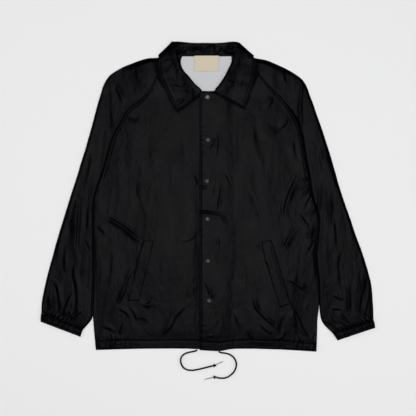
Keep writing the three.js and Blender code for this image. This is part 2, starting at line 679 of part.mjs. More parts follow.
// Snaps: turned caps with a dished middle
const snapProfile = [[0, 0], [0.5, 0], [0.5, 0.45], [0.4, 0.9], [0.3, 1], [0.2, 0.72], [0, 0.66]].map(
  ([r, z]) => new THREE.Vector2(r * snapDiameter, z * snapHeight),
);
snapPlaces.forEach(({ x, y }, i) => {
  const cap = addPiece("snap_" + (i + 1), new THREE.LatheGeometry(snapProfile, 16), snapMetal);
  cap.rotation.x = Math.PI / 2;
  let under = 0;
  for (let k = 0; k < 9; k++) {
    const r = k ? snapDiameter / 2 : 0;
    under = Math.max(under, heightOn(frontLeft, x + r * Math.cos(k), y + r * Math.sin(k)));
  }
  cap.position.set(x, y, under + seamGap);
});

// Drawcord: two free ends with a knot and a tip each, resting on the surface
const cordHeight = cordDiameter / 2 + 0.1;
function addCord(name, route) {
  const path = new THREE.CatmullRomCurve3(route.map(([x, y]) => new THREE.Vector3(x, y, cordHeight)), false, "centripetal");
  const section = new THREE.Shape();
  for (let k = 0; k < 8; k++) {
    const angle = (2 * Math.PI * (k + 0.5)) / 8;
    const point = [Math.cos(angle) * (cordDiameter / 2), Math.sin(angle) * (cordDiameter / 2)];
    if (k) section.lineTo(...point);
    else section.moveTo(...point);
  }
  section.closePath();
  addPiece(name, new THREE.ExtrudeGeometry(section, { steps: cordSteps, extrudePath: path, curveSegments: 1 }), cordCloth);
}
function addKnot(name, [x, y]) {
  const knot = addPiece(name, new THREE.IcosahedronGeometry(knotRadius, 1), cordCloth);
  knot.position.set(x, y, knotRadius + 0.05);
}
function addTip(name, { from, to }) {
  const length = Math.hypot(to[0] - from[0], to[1] - from[1]);
  const tip = addPiece(name, new THREE.CylinderGeometry(tipRadius, tipRadius, length, 10), tipPlastic);
  tip.position.set((from[0] + to[0]) / 2, (from[1] + to[1]) / 2, tipRadius + 0.1);
  tip.rotation.z = Math.atan2(to[1] - from[1], to[0] - from[0]) - Math.PI / 2;
}
addCord("drawcord_right", cordRightRoute);
addCord("drawcord_left", cordLeftRoute);
addKnot("knot_right", knotRightPlace);
addKnot("knot_left", knotLeftPlace);
addTip("cord_tip_right", tipRightEnds);
addTip("cord_tip_left", tipLeftEnds);

export default coachJacket;
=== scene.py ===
# Coach jacket of black nylon, laid flat and seen from above.
# The drawing is worked out in millimetres and goes into the meshes in metres.
import bpy
import numpy as np
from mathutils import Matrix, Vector


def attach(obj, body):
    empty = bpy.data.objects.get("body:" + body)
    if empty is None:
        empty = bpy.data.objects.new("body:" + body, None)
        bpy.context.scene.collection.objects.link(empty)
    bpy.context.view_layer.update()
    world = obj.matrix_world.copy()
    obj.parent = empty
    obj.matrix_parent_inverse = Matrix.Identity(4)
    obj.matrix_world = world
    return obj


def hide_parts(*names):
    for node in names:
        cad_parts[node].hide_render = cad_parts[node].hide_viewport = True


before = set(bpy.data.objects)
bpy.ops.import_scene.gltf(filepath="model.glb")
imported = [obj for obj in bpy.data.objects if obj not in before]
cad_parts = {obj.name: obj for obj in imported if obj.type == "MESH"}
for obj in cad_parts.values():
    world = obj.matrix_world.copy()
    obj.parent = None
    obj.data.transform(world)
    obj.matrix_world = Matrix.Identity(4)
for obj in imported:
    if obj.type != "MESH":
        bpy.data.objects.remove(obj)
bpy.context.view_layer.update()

mm = 0.001
scene = bpy.context.scene

# camera and stage
studio = {
    "photoPixels": 416,
    "pixelSize": 2.6,  # millimetres on the floor
    "centreX": 1.0,  # middle of the picture
    "centreY": -29.4,
    "cameraHeight": 4000,
    "sensor": 36,
    "floorColour": (0.78, 0.78, 0.785),
    "floorHalf": 6000,
    "floorHeight": -0.05,
    "worldLight": 0.2,
}


def makeCamera():
    # lens length: sensor width times the height above the floor, over the width of floor in the picture
    lens = bpy.data.cameras.new("camera")
    camera = bpy.data.objects.new("camera", lens)
    scene.collection.objects.link(camera)
    width = studio["photoPixels"] * studio["pixelSize"]
    lens.sensor_width = studio["sensor"]
    lens.lens = studio["sensor"] * studio["cameraHeight"] / width
    lens.clip_end = 50
    camera.location = (studio["centreX"] * mm, studio["centreY"] * mm, studio["cameraHeight"] * mm)
    camera.rotation_euler = (0, 0, 0)  # straight down, collar at the top
    scene.camera = camera


makeCamera()
print("camera set")

# curves and patches

def through(points, t):
    # smooth curve through points: cubic stretches, slope at a point is half the step between its neighbours
    points = np.asarray(points, float)
    last = len(points) - 1
    place = np.clip(np.asarray(t, float), 0, 1) * last
    i = np.minimum(np.floor(place).astype(int), last - 1)
    f = (place - i)[:, None]
    before, a = points[np.maximum(i - 1, 0)], points[i]
    b, after = points[i + 1], points[np.minimum(i + 2, last)]
    slopeA, slopeB, rise = (b - before) / 2, (after - a) / 2, b - a
    return a + f * (slopeA + f * (3 * rise - 2 * slopeA - slopeB + f * (slopeA + slopeB - 2 * rise)))


def evenly(points, count):
    # the same curve as count + 1 points at even lengths along it
    fine = through(points, np.linspace(0, 1, 1201))
    length = np.concatenate([[0], np.cumsum(np.linalg.norm(np.diff(fine[:, :2], axis=0), axis=1))])
    want = np.linspace(0, length[-1], count + 1)
    return np.stack([np.interp(want, length, fine[:, k]) for k in range(fine.shape[1])], axis=1)


def smooth(value, low, high):
    # soft step from 0 at low to 1 at high
    t = np.clip((np.asarray(value, float) - low) / (high - low), 0, 1)
    return t * t * (3 - 2 * t)


def beside(x, y, points):
    # distance to a line of short stretches, the length along it and the side: nearest point of all stretches
    points = np.asarray(points, float)
    best = np.full(x.shape, np.inf)
    along = np.zeros(x.shape)
    side = np.ones(x.shape)
    start = 0.0
    for (ax, ay), (bx, by) in zip(points[:-1, :2], points[1:, :2]):
        dx, dy = bx - ax, by - ay
        length = np.hypot(dx, dy)
        t = np.clip(((x - ax) * dx + (y - ay) * dy) / length**2, 0, 1)
        far = np.hypot(x - ax - t * dx, y - ay - t * dy)
        nearer = far < best
        best = np.where(nearer, far, best)
        along = np.where(nearer, start + t * length, along)
        side = np.where(nearer, np.sign((x - ax) * dy - (y - ay) * dx), side)
        start += length
    return best, along, side, start


# width and height scale the lists of creases; the rest are shares of a crease's width
creaseShape = {
    "width": 0.78,
    "height": 0.66,
    "crest": 0.28,
    "steep": 1.7,
    "gentle": 1.8,
    "trough": 0.3,
    "troughAt": 0.9,
    "troughWidth": 0.5,
    "reach": 2.5,
}


def creaseHeight(x, y, creases):
    # a crease is a ridge whose steep side lies on its line, with a long gentle side and a shallow
    # trough below it; it fades towards its ends and its height wavers along it; below zero it is a
    # soft trough
    shape = creaseShape
    total = np.zeros(x.shape)
    for number, (points, width, height) in enumerate(creases):
        width, height = shape["width"] * width, shape["height"] * height
        steps = 5 * (len(points) - 1)
        line = through(points, np.linspace(0, 1, steps + 1))
        far, along, side, length = beside(x, y, line)
        s = along / length
        fade = 0.12 + 0.88 * smooth(s, 0, 0.35) * smooth(1 - s, 0, 0.35)
        uneven = 1 + 0.25 * np.sin(along / 11 + 2.1 * number)
        if height < 0:
            total += height * fade * uneven * np.exp(-((far / width) ** 2))
            continue
        steepSide = 1 if number % 3 else -1
        crest = shape["crest"] * width
        offset = far * side * steepSide + crest
        trough = np.exp(-(((offset - shape["troughAt"] * width) / (shape["troughWidth"] * width)) ** 2))
        steep = np.exp(-((offset / (shape["steep"] * crest)) ** 2)) - shape["trough"] * trough
        gentle = np.exp(-((np.abs(offset) / (shape["gentle"] * width)) ** 1.6))
        beyondEnd = np.exp(-((far / (shape["reach"] * width)) ** 4))
        total += height * fade * uneven * np.where(offset > 0, steep, gentle) * beyondEnd
    return total


def puckers(x, y, line, spacing, depth, reach, shift=0.0):
    # waves across a seam: a sine of the length along it with a wandering pitch, dying away with
    # distance from it
    far, along, _, _ = beside(x, y, line)
    pitch = along / spacing + 0.45 * np.sin(along / 31 + shift) + 0.3 * np.sin(along / 13 + 2 * shift)
    strength = 0.55 + 0.45 * np.sin(along / 47 + 3 * shift)
    return depth * strength * np.sin(2 * np.pi * pitch) * np.exp(-far / reach)


def seamPuckers(x, y, line, fromSeam, reach, shift, seed):
    # coarse and fine waves beside a sewn seam, stronger in some stretches than in others
    waves = puckers(x, y, line, 13, 0.42, reach, shift) * smooth(fromSeam, 0, 1.5)
    waves += puckers(x, y, line, 6.1, 0.2, 6, shift + 1) * smooth(fromSeam, 0, 1.5)
    return waves * (0.55 + 0.45 * softNoise(x, y, 40, 40, seed + 9))


def softNoise(x, y, stepX, stepY, seed):
    # random heights on a coarse grid, blended softly between its corners, from -1 to 1
    values = np.random.default_rng(seed).uniform(-1, 1, (64, 64))
    px, py = x / stepX + 500, y / stepY + 500
    i, j = np.floor(px).astype(int), np.floor(py).astype(int)
    fx, fy = smooth(px - i, 0, 1), smooth(py - j, 0, 1)
    at = lambda a, b: values[(i + a) % 64, (j + b) % 64]
    low = at(0, 0) * (1 - fx) + at(1, 0) * fx
    high = at(0, 1) * (1 - fx) + at(1, 1) * fx
    return low * (1 - fy) + high * fy


def groove(far, width, depth):
    # a line of stitches draws the cloth down: a narrow bell
    return -depth * np.exp(-((far / width) ** 2))


def rolled(far, radius, drop):
    # a turned edge: half a parabola and half a quarter circle, down over its radius
    t = np.clip(1 - far / radius, 0, 1)
    return -drop * (0.55 * t * t + 0.45 * (1 - np.sqrt(1 - t * t * 0.98)))


def addMesh(name, points, faces, material, uv=None):
    # points in millimetres become a smooth mesh in metres; uv is the cloth seen from above
    mesh = bpy.data.meshes.new(name)
    mesh.from_pydata((points * mm).tolist(), [], faces.tolist() if hasattr(faces, "tolist") else faces)
    mesh.polygons.foreach_set("use_smooth", np.ones(len(mesh.polygons), bool))
    if uv is not None:
        layer = mesh.uv_layers.new(name="cloth")
        corner = np.empty(len(mesh.loops), int)
        mesh.loops.foreach_get("vertex_index", corner)
        layer.data.foreach_set("uv", (uv[corner] * mm).astype(np.float32).ravel())
    mesh.materials.append(material)
    mesh.update()
    piece = bpy.data.objects.new(name, mesh)
    scene.collection.objects.link(piece)
    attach(piece, "root")
    return piece


def gridQuads(rows, columns, closedRows=False, closedColumns=True):
    # corners of each cell of a grid, whose last row or column may join the first
    down, across = np.arange(rows - 1 + closedRows), np.arange(columns - 1 + closedColumns)
    i, j = np.meshgrid(down, across, indexing="ij")
    at = lambda a, b: (a % rows * columns + b % columns).ravel()
    return np.stack([at(i, j), at(i, j + 1), at(i + 1, j + 1), at(i + 1, j)], 1)


def turnedRound(quads):
    # the same quads seen from their other side, from the same first corner
    return quads[:, [0, 3, 2, 1]]


def shellFaces(rows, columns, ring):
    # quads of an outer and an inner grid, with rims that close them into one shell
    at = lambda a, b: a * columns + b % columns
    back = rows * columns
    outer = gridQuads(rows, columns, closedColumns=ring)
    inner = turnedRound(outer) + back
    rim = lambda start, end: np.stack([start, back + start, back + end, end], 1)
    b = np.arange(columns if ring else columns - 1)
    last = rows - 1
    rims = [rim(at(0, b), at(0, b + 1)), rim(at(last, b + 1), at(last, b))]
    if not ring:
        a = np.arange(rows - 1)
        rims += [rim(at(a + 1, 0), at(a, 0)), rim(at(a, columns - 1), at(a + 1, columns - 1))]
    return np.concatenate([outer, inner] + rims)


def clothShell(name, outer, inner, material, ring=False):
    # outer and inner are grids of points; the faces are turned round if the volume they hold is below zero
    rows, columns, _ = outer.shape
    points = np.concatenate([outer.reshape(-1, 3), inner.reshape(-1, 3)])
    faces = shellFaces(rows, columns, ring)
    a, b, c, d = (points[faces[:, k]] for k in range(4))
    volume = (np.einsum("ij,ij->i", a, np.cross(b, c)) + np.einsum("ij,ij->i", a, np.cross(c, d))).sum()
    if volume < 0:
        faces = faces[:, ::-1]
    return addMesh(name, points, faces, material, points[:, :2])


def lowered(outer, depth):
    # the same grid, depth lower
    return outer - np.array([0, 0, depth])


def unit(vectors):
    # each vector divided by its length
    return vectors / np.maximum(np.linalg.norm(vectors, axis=-1, keepdims=True), 1e-9)


def gridNormals(grid):
    # cross product of the steps along both directions of the grid
    return unit(np.cross(np.gradient(grid, axis=1), np.gradient(grid, axis=0)))


def ringsAround(aside, upright, sides):
    # circles of radius 1: aside times the cosine and upright times the sine of even angles
    angle = 2 * np.pi * np.arange(sides) / sides
    return aside[:, None] * np.cos(angle)[None, :, None] + upright[:, None] * np.sin(angle)[None, :, None]


# materials

def newMaterial(name, colour, roughness):
    # a plain shader, to be given its pattern
    material = bpy.data.materials.new(name)
    material.use_nodes = True
    shader = material.node_tree.nodes["Principled BSDF"]
    shader.inputs["Base Color"].default_value = (*colour, 1)
    shader.inputs["Roughness"].default_value = roughness
    return material, material.node_tree, shader


def addNode(tree, kind, **inputs):
    # a node with values at its named sockets
    node = tree.nodes.new(kind)
    for socket, value in inputs.items():
        node.inputs[socket].default_value = value
    return node


def placed(tree, scale):
    # object coordinates, in metres, stretched by scale
    coordinates = tree.nodes.new("ShaderNodeTexCoord")
    mapping = addNode(tree, "ShaderNodeMapping", Scale=scale)
    tree.links.new(coordinates.outputs["Object"], mapping.inputs["Vector"])
    return mapping.outputs["Vector"]


def addBump(tree, shader, height, strength, distance, before=None):
    # a bump goes into the shader, on top of the one before
    bump = addNode(tree, "ShaderNodeBump", Strength=strength, Distance=distance)
    tree.links.new(height, bump.inputs["Height"])
    if before is not None:
        tree.links.new(before, bump.inputs["Normal"])
    tree.links.new(bump.outputs["Normal"], shader.inputs["Normal"])
    return bump.outputs["Normal"]


def addNoise(tree, scale, stretch, detail, roughness=0.5):
    # cloudy noise on object coordinates
    noise = addNode(tree, "ShaderNodeTexNoise", Scale=scale, Detail=detail, Roughness=roughness)
    tree.links.new(placed(tree, stretch), noise.inputs["Vector"])
    return noise.outputs["Fac"]


def addMath(tree, operation, a, b):
    # one operation on two numbers or sockets
    node = tree.nodes.new("ShaderNodeMath")
    node.operation = operation
    for k, value in enumerate((a, b)):
        if isinstance(value, (int, float)):
            node.inputs[k].default_value = value
        else:
            tree.links.new(value, node.inputs[k])
    return node.outputs[0]


def weave(tree, threads):
    # plain weave: the product of two rows of waves, threads to the metre
    waves = []
    for direction in ("X", "Y"):
        wave = addNode(tree, "ShaderNodeTexWave", Scale=threads / 20 * np.pi, Distortion=0.6, Detail=1.0)
        wave.bands_direction = direction
        tree.links.new(placed(tree, (1, 1, 1)), wave.inputs["Vector"])
        waves.append(wave.outputs["Fac"])
    return addMath(tree, "MULTIPLY", waves[0], waves[1])


nylon = {
    "colour": (0.0003, 0.00025, 0.0007),
    # painted sheen: this violet second black, mixed in by noise, stands in for the cloth's bluish reflection
    # as well as its random tone
    "blotchAndPaintedSheen": (0.0007, 0.00048, 0.0018),
    "roughness": 0.29,
    "sheen": 0.0,
    "specular": 0.0172,
    "threads": 2600,
    "crumple": 42,  # soft creases to the metre
}


def makeNylon(name, recipe):
    # two near blacks mixed by noise: the second, a violet, is random tone that also paints a bluish sheen on
    # the cloth; gloss varied by noise, bump from folded noise and a weave
    material, tree, shader = newMaterial(name, recipe["colour"], recipe["roughness"])
    shader.inputs["Sheen Weight"].default_value = recipe["sheen"]
    shader.inputs["Sheen Roughness"].default_value = 0.35
    shader.inputs["Specular IOR Level"].default_value = recipe["specular"]
    blotch = addNoise(tree, 9, (1, 1, 1), 3)
    # the near black mixed with the violet of painted bluish sheen, in random blotches
    mix = addNode(tree, "ShaderNodeMix")
    mix.data_type = "RGBA"
    mix.inputs[6].default_value = (*recipe["colour"], 1)
    mix.inputs[7].default_value = (*recipe["blotchAndPaintedSheen"], 1)
    tree.links.new(blotch, mix.inputs[0])
    tree.links.new(mix.outputs[2], shader.inputs["Base Color"])
    polish = addNode(tree, "ShaderNodeMapRange")
    tree.links.new(addNoise(tree, 30, (1, 0.5, 1), 2), polish.inputs[0])
    polish.inputs[3].default_value = recipe["roughness"] - 0.05
    polish.inputs[4].default_value = recipe["roughness"] + 0.07
    tree.links.new(polish.outputs[0], shader.inputs["Roughness"])
    crumple = addNoise(tree, recipe["crumple"], (1, 0.55, 1), 4, 0.6)
    ridges = addMath(tree, "ABSOLUTE", addMath(tree, "SUBTRACT", crumple, 0.5), 0.0)
    first = addBump(tree, shader, ridges, 0.35, 0.004)
    addBump(tree, shader, weave(tree, recipe["threads"]), 0.08, 0.0002, first)
    return material


blackNylon = makeNylon("blackNylon", nylon)


def makePlainCloth(name, colour, roughness, threads, sheen, specular=0.5):
    # one colour with bump from noise and a weave
    material, tree, shader = newMaterial(name, colour, roughness)
    shader.inputs["Specular IOR Level"].default_value = specular
    shader.inputs["Sheen Weight"].default_value = sheen
    rough = addNoise(tree, 60, (1, 1, 1), 3)
    first = addBump(tree, shader, rough, 0.25, 0.0015)
    addBump(tree, shader, weave(tree, threads), 0.3, 0.0003, first)
    return material


greyLining = makePlainCloth("greyLining", (0.5, 0.51, 0.535), 0.7, 1800, 0.1)
creamLabel = makePlainCloth("creamLabel", (0.57, 0.5, 0.38), 0.8, 1500, 0.1)
blackCord = makePlainCloth("blackCord", (0.003, 0.003, 0.0035), 0.75, 900, 0.03, 0.15)
blackThread = makePlainCloth("blackThread", (0.004, 0.004, 0.0045), 0.5, 5200, 0, 0.08)
creamThread = makePlainCloth("creamThread", (0.6, 0.54, 0.42), 0.6, 5200, 0.1)
print("materials made")

# sizes in millimetres, the same as in the CAD part
cloth = {
    "wall": 1.2,
    "seam": 0.1,  # between two sewn edges
    "top": 2.7,  # upper side of a front or sleeve lying flat on the back
    "layer": 1.5,
    "bodyPuff": 1.5,
    "sleevePuff": 2.4,
    "hemDepth": 22,
    "hemLift": 0.7,
    "leftFrontEdge": -21.1,
    "rightFrontEdge": 37.4,
    "placketLift": 1.7,
    "thin": 0.7,  # wall of the drawn cloth
}
# folds have no height within the free radius of the neck; the leaf under the back ends between the pairs
neck = {"x": -1, "y": 330, "free": 146, "full": 190, "leafSides": (132, 168), "leafBelow": (286, 318)}
placket = {"stitches": -16.1, "roll": (2.4, 1.7), "step": (40.4, 71.4)}
panel = {"half": 300, "side": 452, "raglan": 346, "stitches": (2, 7.5)}  # lengths that set the grids' steps

# sleeves, a row for each line across the arm: seam x y, fold x y, back x y
underarmRow = 10
sleeveRightRows = [
    (-92.6, 345, -101.7, 367, -95.2, 355.4), (-113.4, 326.8, -131.6, 360.9, -118.6, 339.8),
    (-134.2, 308.6, -157.6, 359, -142, 321.6), (-149.8, 277.4, -191.4, 348.1, -162.8, 298.2),
    (-175.8, 250.1, -225.2, 333.8, -188.8, 274.8), (-207, 225.4, -253.8, 315.1, -214.8, 248.8),
    (-225.2, 194.2, -270.2, 290.4, -233, 217.6), (-244.7, 157.8, -280.3, 259.2, -249.9, 173.4),
    (-259, 113.6, -294.1, 209.8, -261.6, 121.4), (-269.4, 74.6, -307.4, 160.4, -269.6, 77.2),
    (-277.2, 51.2, -318.5, 121.4, -277.2, 51.2), (-287.6, 20, -329.2, 87.6, -287.6, 20),
    (-295.9, -11.2, -342.2, 44.7, -295.9, -11.2), (-297, -73.6, -361.7, -16.4, -297, -73.6),
    (-296.4, -151.6, -386.4, -97, -296.4, -151.6), (-296.4, -229.6, -408.5, -175, -296.4, -229.6),
    (-298, -281.6, -423.8, -237.4, -298, -281.6), (-299.8, -315.4, -430.9, -276.4, -299.8, -315.4),
    (-323, -344.8, -432.2, -301.1, -323, -344.8),
]
sleeveLeftRows = [
    (90.7, 350.2, 99, 366.4, 93.3, 359), (110.2, 338.5, 124.6, 359.8, 115.4, 342.4),
    (128.4, 324.2, 151.8, 354.6, 138.8, 324.2), (147.9, 302.1, 180.4, 343.2, 162.2, 300.8),
    (170, 277.4, 211.6, 328.4, 185.6, 272.2), (194.7, 252.7, 240.2, 309.6, 209, 243.6),
    (216.8, 224.1, 255.8, 289.6, 227.2, 209.8), (233.7, 195.5, 268.8, 255.3, 240.2, 170.8),
    (245.4, 155.2, 285.7, 208.5, 250.6, 124), (253.2, 103.2, 302.6, 159.1, 258.4, 79.8),
    (263.6, 51.2, 319.5, 105.8, 263.6, 51.2), (268.8, 12.2, 334.6, 52.5, 268.8, 12.2),
    (278.7, -24.2, 349.4, 4.4, 278.7, -24.2), (288, -60.6, 366.3, -45, 288, -60.6),
    (284.1, -120.4, 387.1, -104.8, 284.1, -120.4), (280.8, -156.8, 401.4, -145.1, 280.8, -156.8),
    (287.5, -224.4, 423.5, -219.2, 287.5, -224.4), (289.6, -279, 428.7, -268.6, 289.6, -279),
    (297.4, -324.5, 430.5, -297.2, 297.4, -324.5), (324.7, -354.4, 430.8, -318.8, 324.7, -354.4),
]

# edges of the body's panels
sideEndRight = {"lastRow": 16, "points": [(-297.6, -315.4), (-294.1, -359.6), (-290.2, -398.6)]}
sideEndLeft = {"lastRow": 17, "points": [(285.6, -318), (284.4, -360), (282.6, -402.8)]}
hemRight = [
    (37.4, -395.7), (-22.4, -396), (-84.8, -393.9), (-149.8, -394.7), (-240.8, -395.5), (-290.2, -398.6),
]
hemLeft = [
    (-21.1, -398.3), (6.2, -400.4), (32.2, -400.9), (58.2, -396.5),
    (97.2, -394.4), (149.2, -396), (214.2, -398.1), (282.6, -402.8),
]
hemBack = [(-289.2, -397.2), (-150, -393.6), (0, -394), (150, -394.4), (281.6, -401.4)]
neckRight = [(37.4, 256.6), (-6.8, 261.8), (-35.4, 272.2), (-61.4, 290.4), (-82.2, 316.4), (-92.6, 345)]
neckLeft = [(-21.1, 274.8), (16.6, 274.8), (37.4, 282.6), (63.4, 306), (81.6, 332), (90.7, 350.2)]
neckBack = [
    (-95.2, 355.4), (-83.5, 360.6), (-66.6, 365.8), (-40.6, 368.4),
    (37.4, 368.4), (63.4, 365.8), (79, 361.9), (93.3, 359),
]

# collar's band from seam to fold: seam x y, fold x y, 1 where it lies on the back panel
standRightRows = [
    (-23.4, 270.4, -16.4, 276.4, 1), (-37.4, 276, -32.8, 292.2, 1), (-58.6, 293.5, -50.2, 312.8, 1),
    (-78.6, 318.8, -64.5, 329.4, 1), (-88, 342.4, -71.3, 348.9, 1), (-90.2, 355.4, -77.5, 371, 1),
]
standBackRows = [
    (-84, 366.6, -85.4, 396.4, 0), (-70, 369, -70, 398, 0), (-45.8, 370.5, -45.8, 398.6, 0),
    (-1.6, 370.7, -1.6, 398, 0), (37.4, 370.5, 37.4, 398.6, 0), (60, 369.4, 62, 398.6, 0),
    (74, 366.8, 75.6, 396, 0),
]
standLeftRows = [
    (86.6, 357.5, 69.6, 368.4, 1), (84.6, 343.7, 62.9, 348.9, 1), (75.8, 326.8, 53, 328.1, 1),
    (60.2, 306.6, 41.6, 306, 1), (35.6, 284.6, 21.8, 280, 1),
]

# collar's leaf: fold x y, edge x y, turn 1 on top and -1 under the back
fallRows = [
    (-22.6, 264.4, -77, 224.1, 1), (-16.7, 277.4, -86.6, 234.5, 1), (-34.1, 294.3, -97.8, 255.3, 1),
    (-52.3, 315.1, -110.8, 282.6, 1), (-67.4, 330.7, -121.2, 306, 1), (-73.6, 350.2, -127.4, 334.6, 1),
    (-79.6, 371, -129, 352.8, 1), (-84.2, 389.2, -127.4, 361.6, 0.8), (-92.6, 401.2, -128.2, 368, 0),
    (-91.4, 402.2, -127.4, 366.4, -0.75), (-88.4, 402.6, -125.6, 362.4, -1), (-84, 402.4, -118, 349, -1),
    (-69.2, 402.2, -92.6, 332, -1), (-38, 399.3, -45.8, 328.1, -1), (-1.6, 399.1, -1.6, 326.8, -1),
    (34.8, 399.6, 42.6, 328.1, -1), (60.8, 402.2, 84.2, 332, -1), (73, 402, 109, 350, -1),
    (78, 401.2, 116.8, 361.6, -1), (81.2, 399.8, 118.6, 365.4, -0.75), (82.9, 398, 119.6, 367.2, 0),
    (75.4, 387.9, 119.9, 361.4, 0.8), (69.4, 371, 123.2, 351.5, 1), (63.4, 348.9, 123.2, 328.1, 1),
    (53.8, 328.1, 119.3, 303.4, 1), (42.3, 306, 112.8, 281.3, 1), (25.7, 283.9, 105, 257.9, 1),
    (16.6, 274, 95.9, 231.9, 1),
]

# lining: y, left x, right x; welts and cuffs: inner x y, outer x y
liningRows = [
    (272.6, -13.5, 19.4), (280, -17.6, 20), (292, -31.4, 30), (312.8, -48.8, 43.8),
    (329.4, -63, 52), (348.9, -69.8, 61.4), (364.4, -66, 62),
]
weltRightRows = [
    (-139.4, -113.9, -168, -113.9), (-149, -154.2, -178.4, -154.2), (-158.9, -193.2, -188.8, -193.2),
    (-168.5, -232.2, -198.7, -232.2), (-177.1, -271.2, -208.3, -271.2),
]
weltLeftRows = [
    (138.8, -116.8, 166.1, -112.6), (146.1, -154.2, 179.1, -152.9), (157, -190.6, 189, -190.6),
    (170, -234.8, 202.5, -232.2), (188.2, -288.1, 216.8, -279),
]
cuffRightRows = [
    (-323.2, -345.3, -432.4, -301.6), (-327.5, -355, -433.8, -313.5), (-330.5, -364.3, -433.6, -325),
]
cuffLeftRows = [(324.9, -354.9, 431, -319.3), (331.8, -364.6, 434, -330), (337.7, -373.6, 435.2, -340.9)]
snapPlaces = [(-0.3, 258.4), (1, 147.4), (-1.6, 40.8), (-0.3, -58), (1, -167.2), (3.6, -269.9)]


# heights

def neckLift(x, y, spread=0):
    # the back rises by one layer over the collar's leaf, which lies under it; upper cloth rises sooner
    inner, outer = neck["leafSides"]
    low, high = neck["leafBelow"]
    aside = smooth(np.abs(x), inner + spread, outer + spread)
    below = smooth(y, low - spread, high - spread)
    return cloth["layer"] * (1 - aside) * below


def overlapLift(x):
    # a soft step down past the edge of the front below
    return cloth["placketLift"] * (1 - smooth(x, *placket["step"]))


def clearOfNeck(x, y):
    # soft step from the free radius round the neck to the full one
    return smooth(np.hypot(x - neck["x"], y - neck["y"]), neck["free"], neck["full"])


def swellPastNeck(x, y):
    # the same over a longer way, for broad swellings
    return smooth(np.hypot(x - neck["x"], y - neck["y"]), neck["free"] - 10, neck["full"] + 110)


def lineReach(x, y, line, size=260):
    # distance to a line of points
    places = evenly(line, size)
    flat = np.stack([np.ravel(x), np.ravel(y)], 1)
    result = np.empty(len(flat))
    for start in range(0, len(flat), 6000):
        part = flat[start : start + 6000]
        squared = ((part[:, None] - places[None]) ** 2).sum(2)
        result[start : start + 6000] = np.sqrt(squared.min(1))
    return result.reshape(np.shape(x))


sink = {"depth": 1.3, "atShoulder": 2.3, "reach": 2.6, "shoulderReach": 5, "gone": (30, 110)}


def besideCollar(x, y):
    # the collar presses the cloth down along its edge: a rise away from it, gone again further out
    result = np.zeros(np.shape(x))
    near = (np.hypot(x - neck["x"], y - neck["y"]) < 230)
    if near.any():
        rows = np.array(fallRows)
        right, left = rows[:9, 2:4], rows[20:, 2:4]
        far = np.minimum(lineReach(x[near], y[near], right), lineReach(x[near], y[near], left))
        tips = np.minimum(lineReach(x[near], y[near], rows[0].reshape(-1)[:4].reshape(2, 2)),
                          lineReach(x[near], y[near], rows[-1].reshape(-1)[:4].reshape(2, 2)))
        far = np.minimum(far, tips)
        shoulder = smooth(y[near], 270, 330)
        reach = sink["reach"] + sink["shoulderReach"] * shoulder
        rise = (1 - np.exp(-far / reach)) * (1 - smooth(far, *sink["gone"]))
        result[near] = (sink["depth"] + sink["atShoulder"] * shoulder) * rise
    return result


def besideNeck(x, y):
    # the placket's upper end sinks towards the neck seam round the first snap
    result = np.zeros(np.shape(x))
    near = (np.abs(x - 10) < 90) & (y > 150)
    far = lineReach(x[near], y[near], [(-21.1, 274.8), (16.6, 274.8), (37.4, 282.6)], 90)
    result[near] = 1.3 * (1 - np.exp(-far / 6)) * (1 - smooth(far, 26, 90))
    return result


def shares(length, count, ends=(0, 0.3, 0.7, 1.2, 2), extra=()):
    # even shares of a length in mm, closer together near both ends and round the extra places
    inner = np.linspace(ends[-1] + 1.2, length - ends[-1] - 1.2, count)
    places = np.concatenate([ends, inner, length - np.array(ends), *extra])
    return np.unique(np.round(places, 3)) / length


def stitchPlaces(at):
    # grid lines on both sides of a line of stitches
    return at + np.array([-0.9, -0.45, 0, 0.45, 0.9])


def onCurve(points, at):
    # points of the curve at shares of its length
    fine = evenly(points, 1200)
    share = np.linspace(0, 1, 1201)
    return np.stack([np.interp(at, share, fine[:, k]) for k in range(fine.shape[1])], axis=1)


def straight(line, share):
    # points at shares of the straight line of each row, from its first x y to its second x y
    x = line[:, 0:1] + share * (line[:, 2:3] - line[:, 0:1])
    y = line[:, 1:2] + share * (line[:, 3:4] - line[:, 1:2])
    return x, y


def blend(bottom, top, left, right, u, v):
    # surface between four edges: straight blends of facing edges, less the blend of the corners
    u, v = u[None, :, None], v[:, None, None]
    across = (1 - u) * left[:, None] + u * right[:, None]
    along = (1 - v) * bottom[None] + v * top[None]
    corners = (1 - v) * ((1 - u) * bottom[0] + u * bottom[-1]) + v * ((1 - u) * top[0] + u * top[-1])
    return across + along - corners


# body panels

def sideLine(rows, end, seam, side):
    # side edge from hem to underarm in lower steps, then the raglan seam up to the neck in upper steps
    rows = np.array(rows, float)
    alongSleeve = rows[underarmRow : end["lastRow"] + 1, seam : seam + 2]
    sideCurve = onCurve(np.vstack([alongSleeve, end["points"]]), lowerShares)[::-1]
    raglan = onCurve(rows[: underarmRow + 1, seam : seam + 2], upperShares)[::-1]
    line = np.vstack([sideCurve[:-1], raglan])
    return line - np.array([side * 0.4, 0.3]) * cloth["seam"]


atHem = panel["side"] - stitchPlaces(cloth["hemDepth"])
lowerShares = shares(panel["side"], 176, ends=(0, 1, 2, 3), extra=(atHem,))
upperShares = shares(panel["raglan"], 126, ends=(0, 0.6, 1.4, 2.6))
rowCount = len(lowerShares) + len(upperShares) - 1
rowShares = np.concatenate([0.5 - 0.5 * lowerShares[::-1], 0.5 + 0.5 * (1 - upperShares[::-1])[1:]])
atSeam = [panel["half"] - stitchPlaces(far) for far in panel["stitches"]]
columnShares = shares(panel["half"], 112, extra=(stitchPlaces(5), *atSeam))


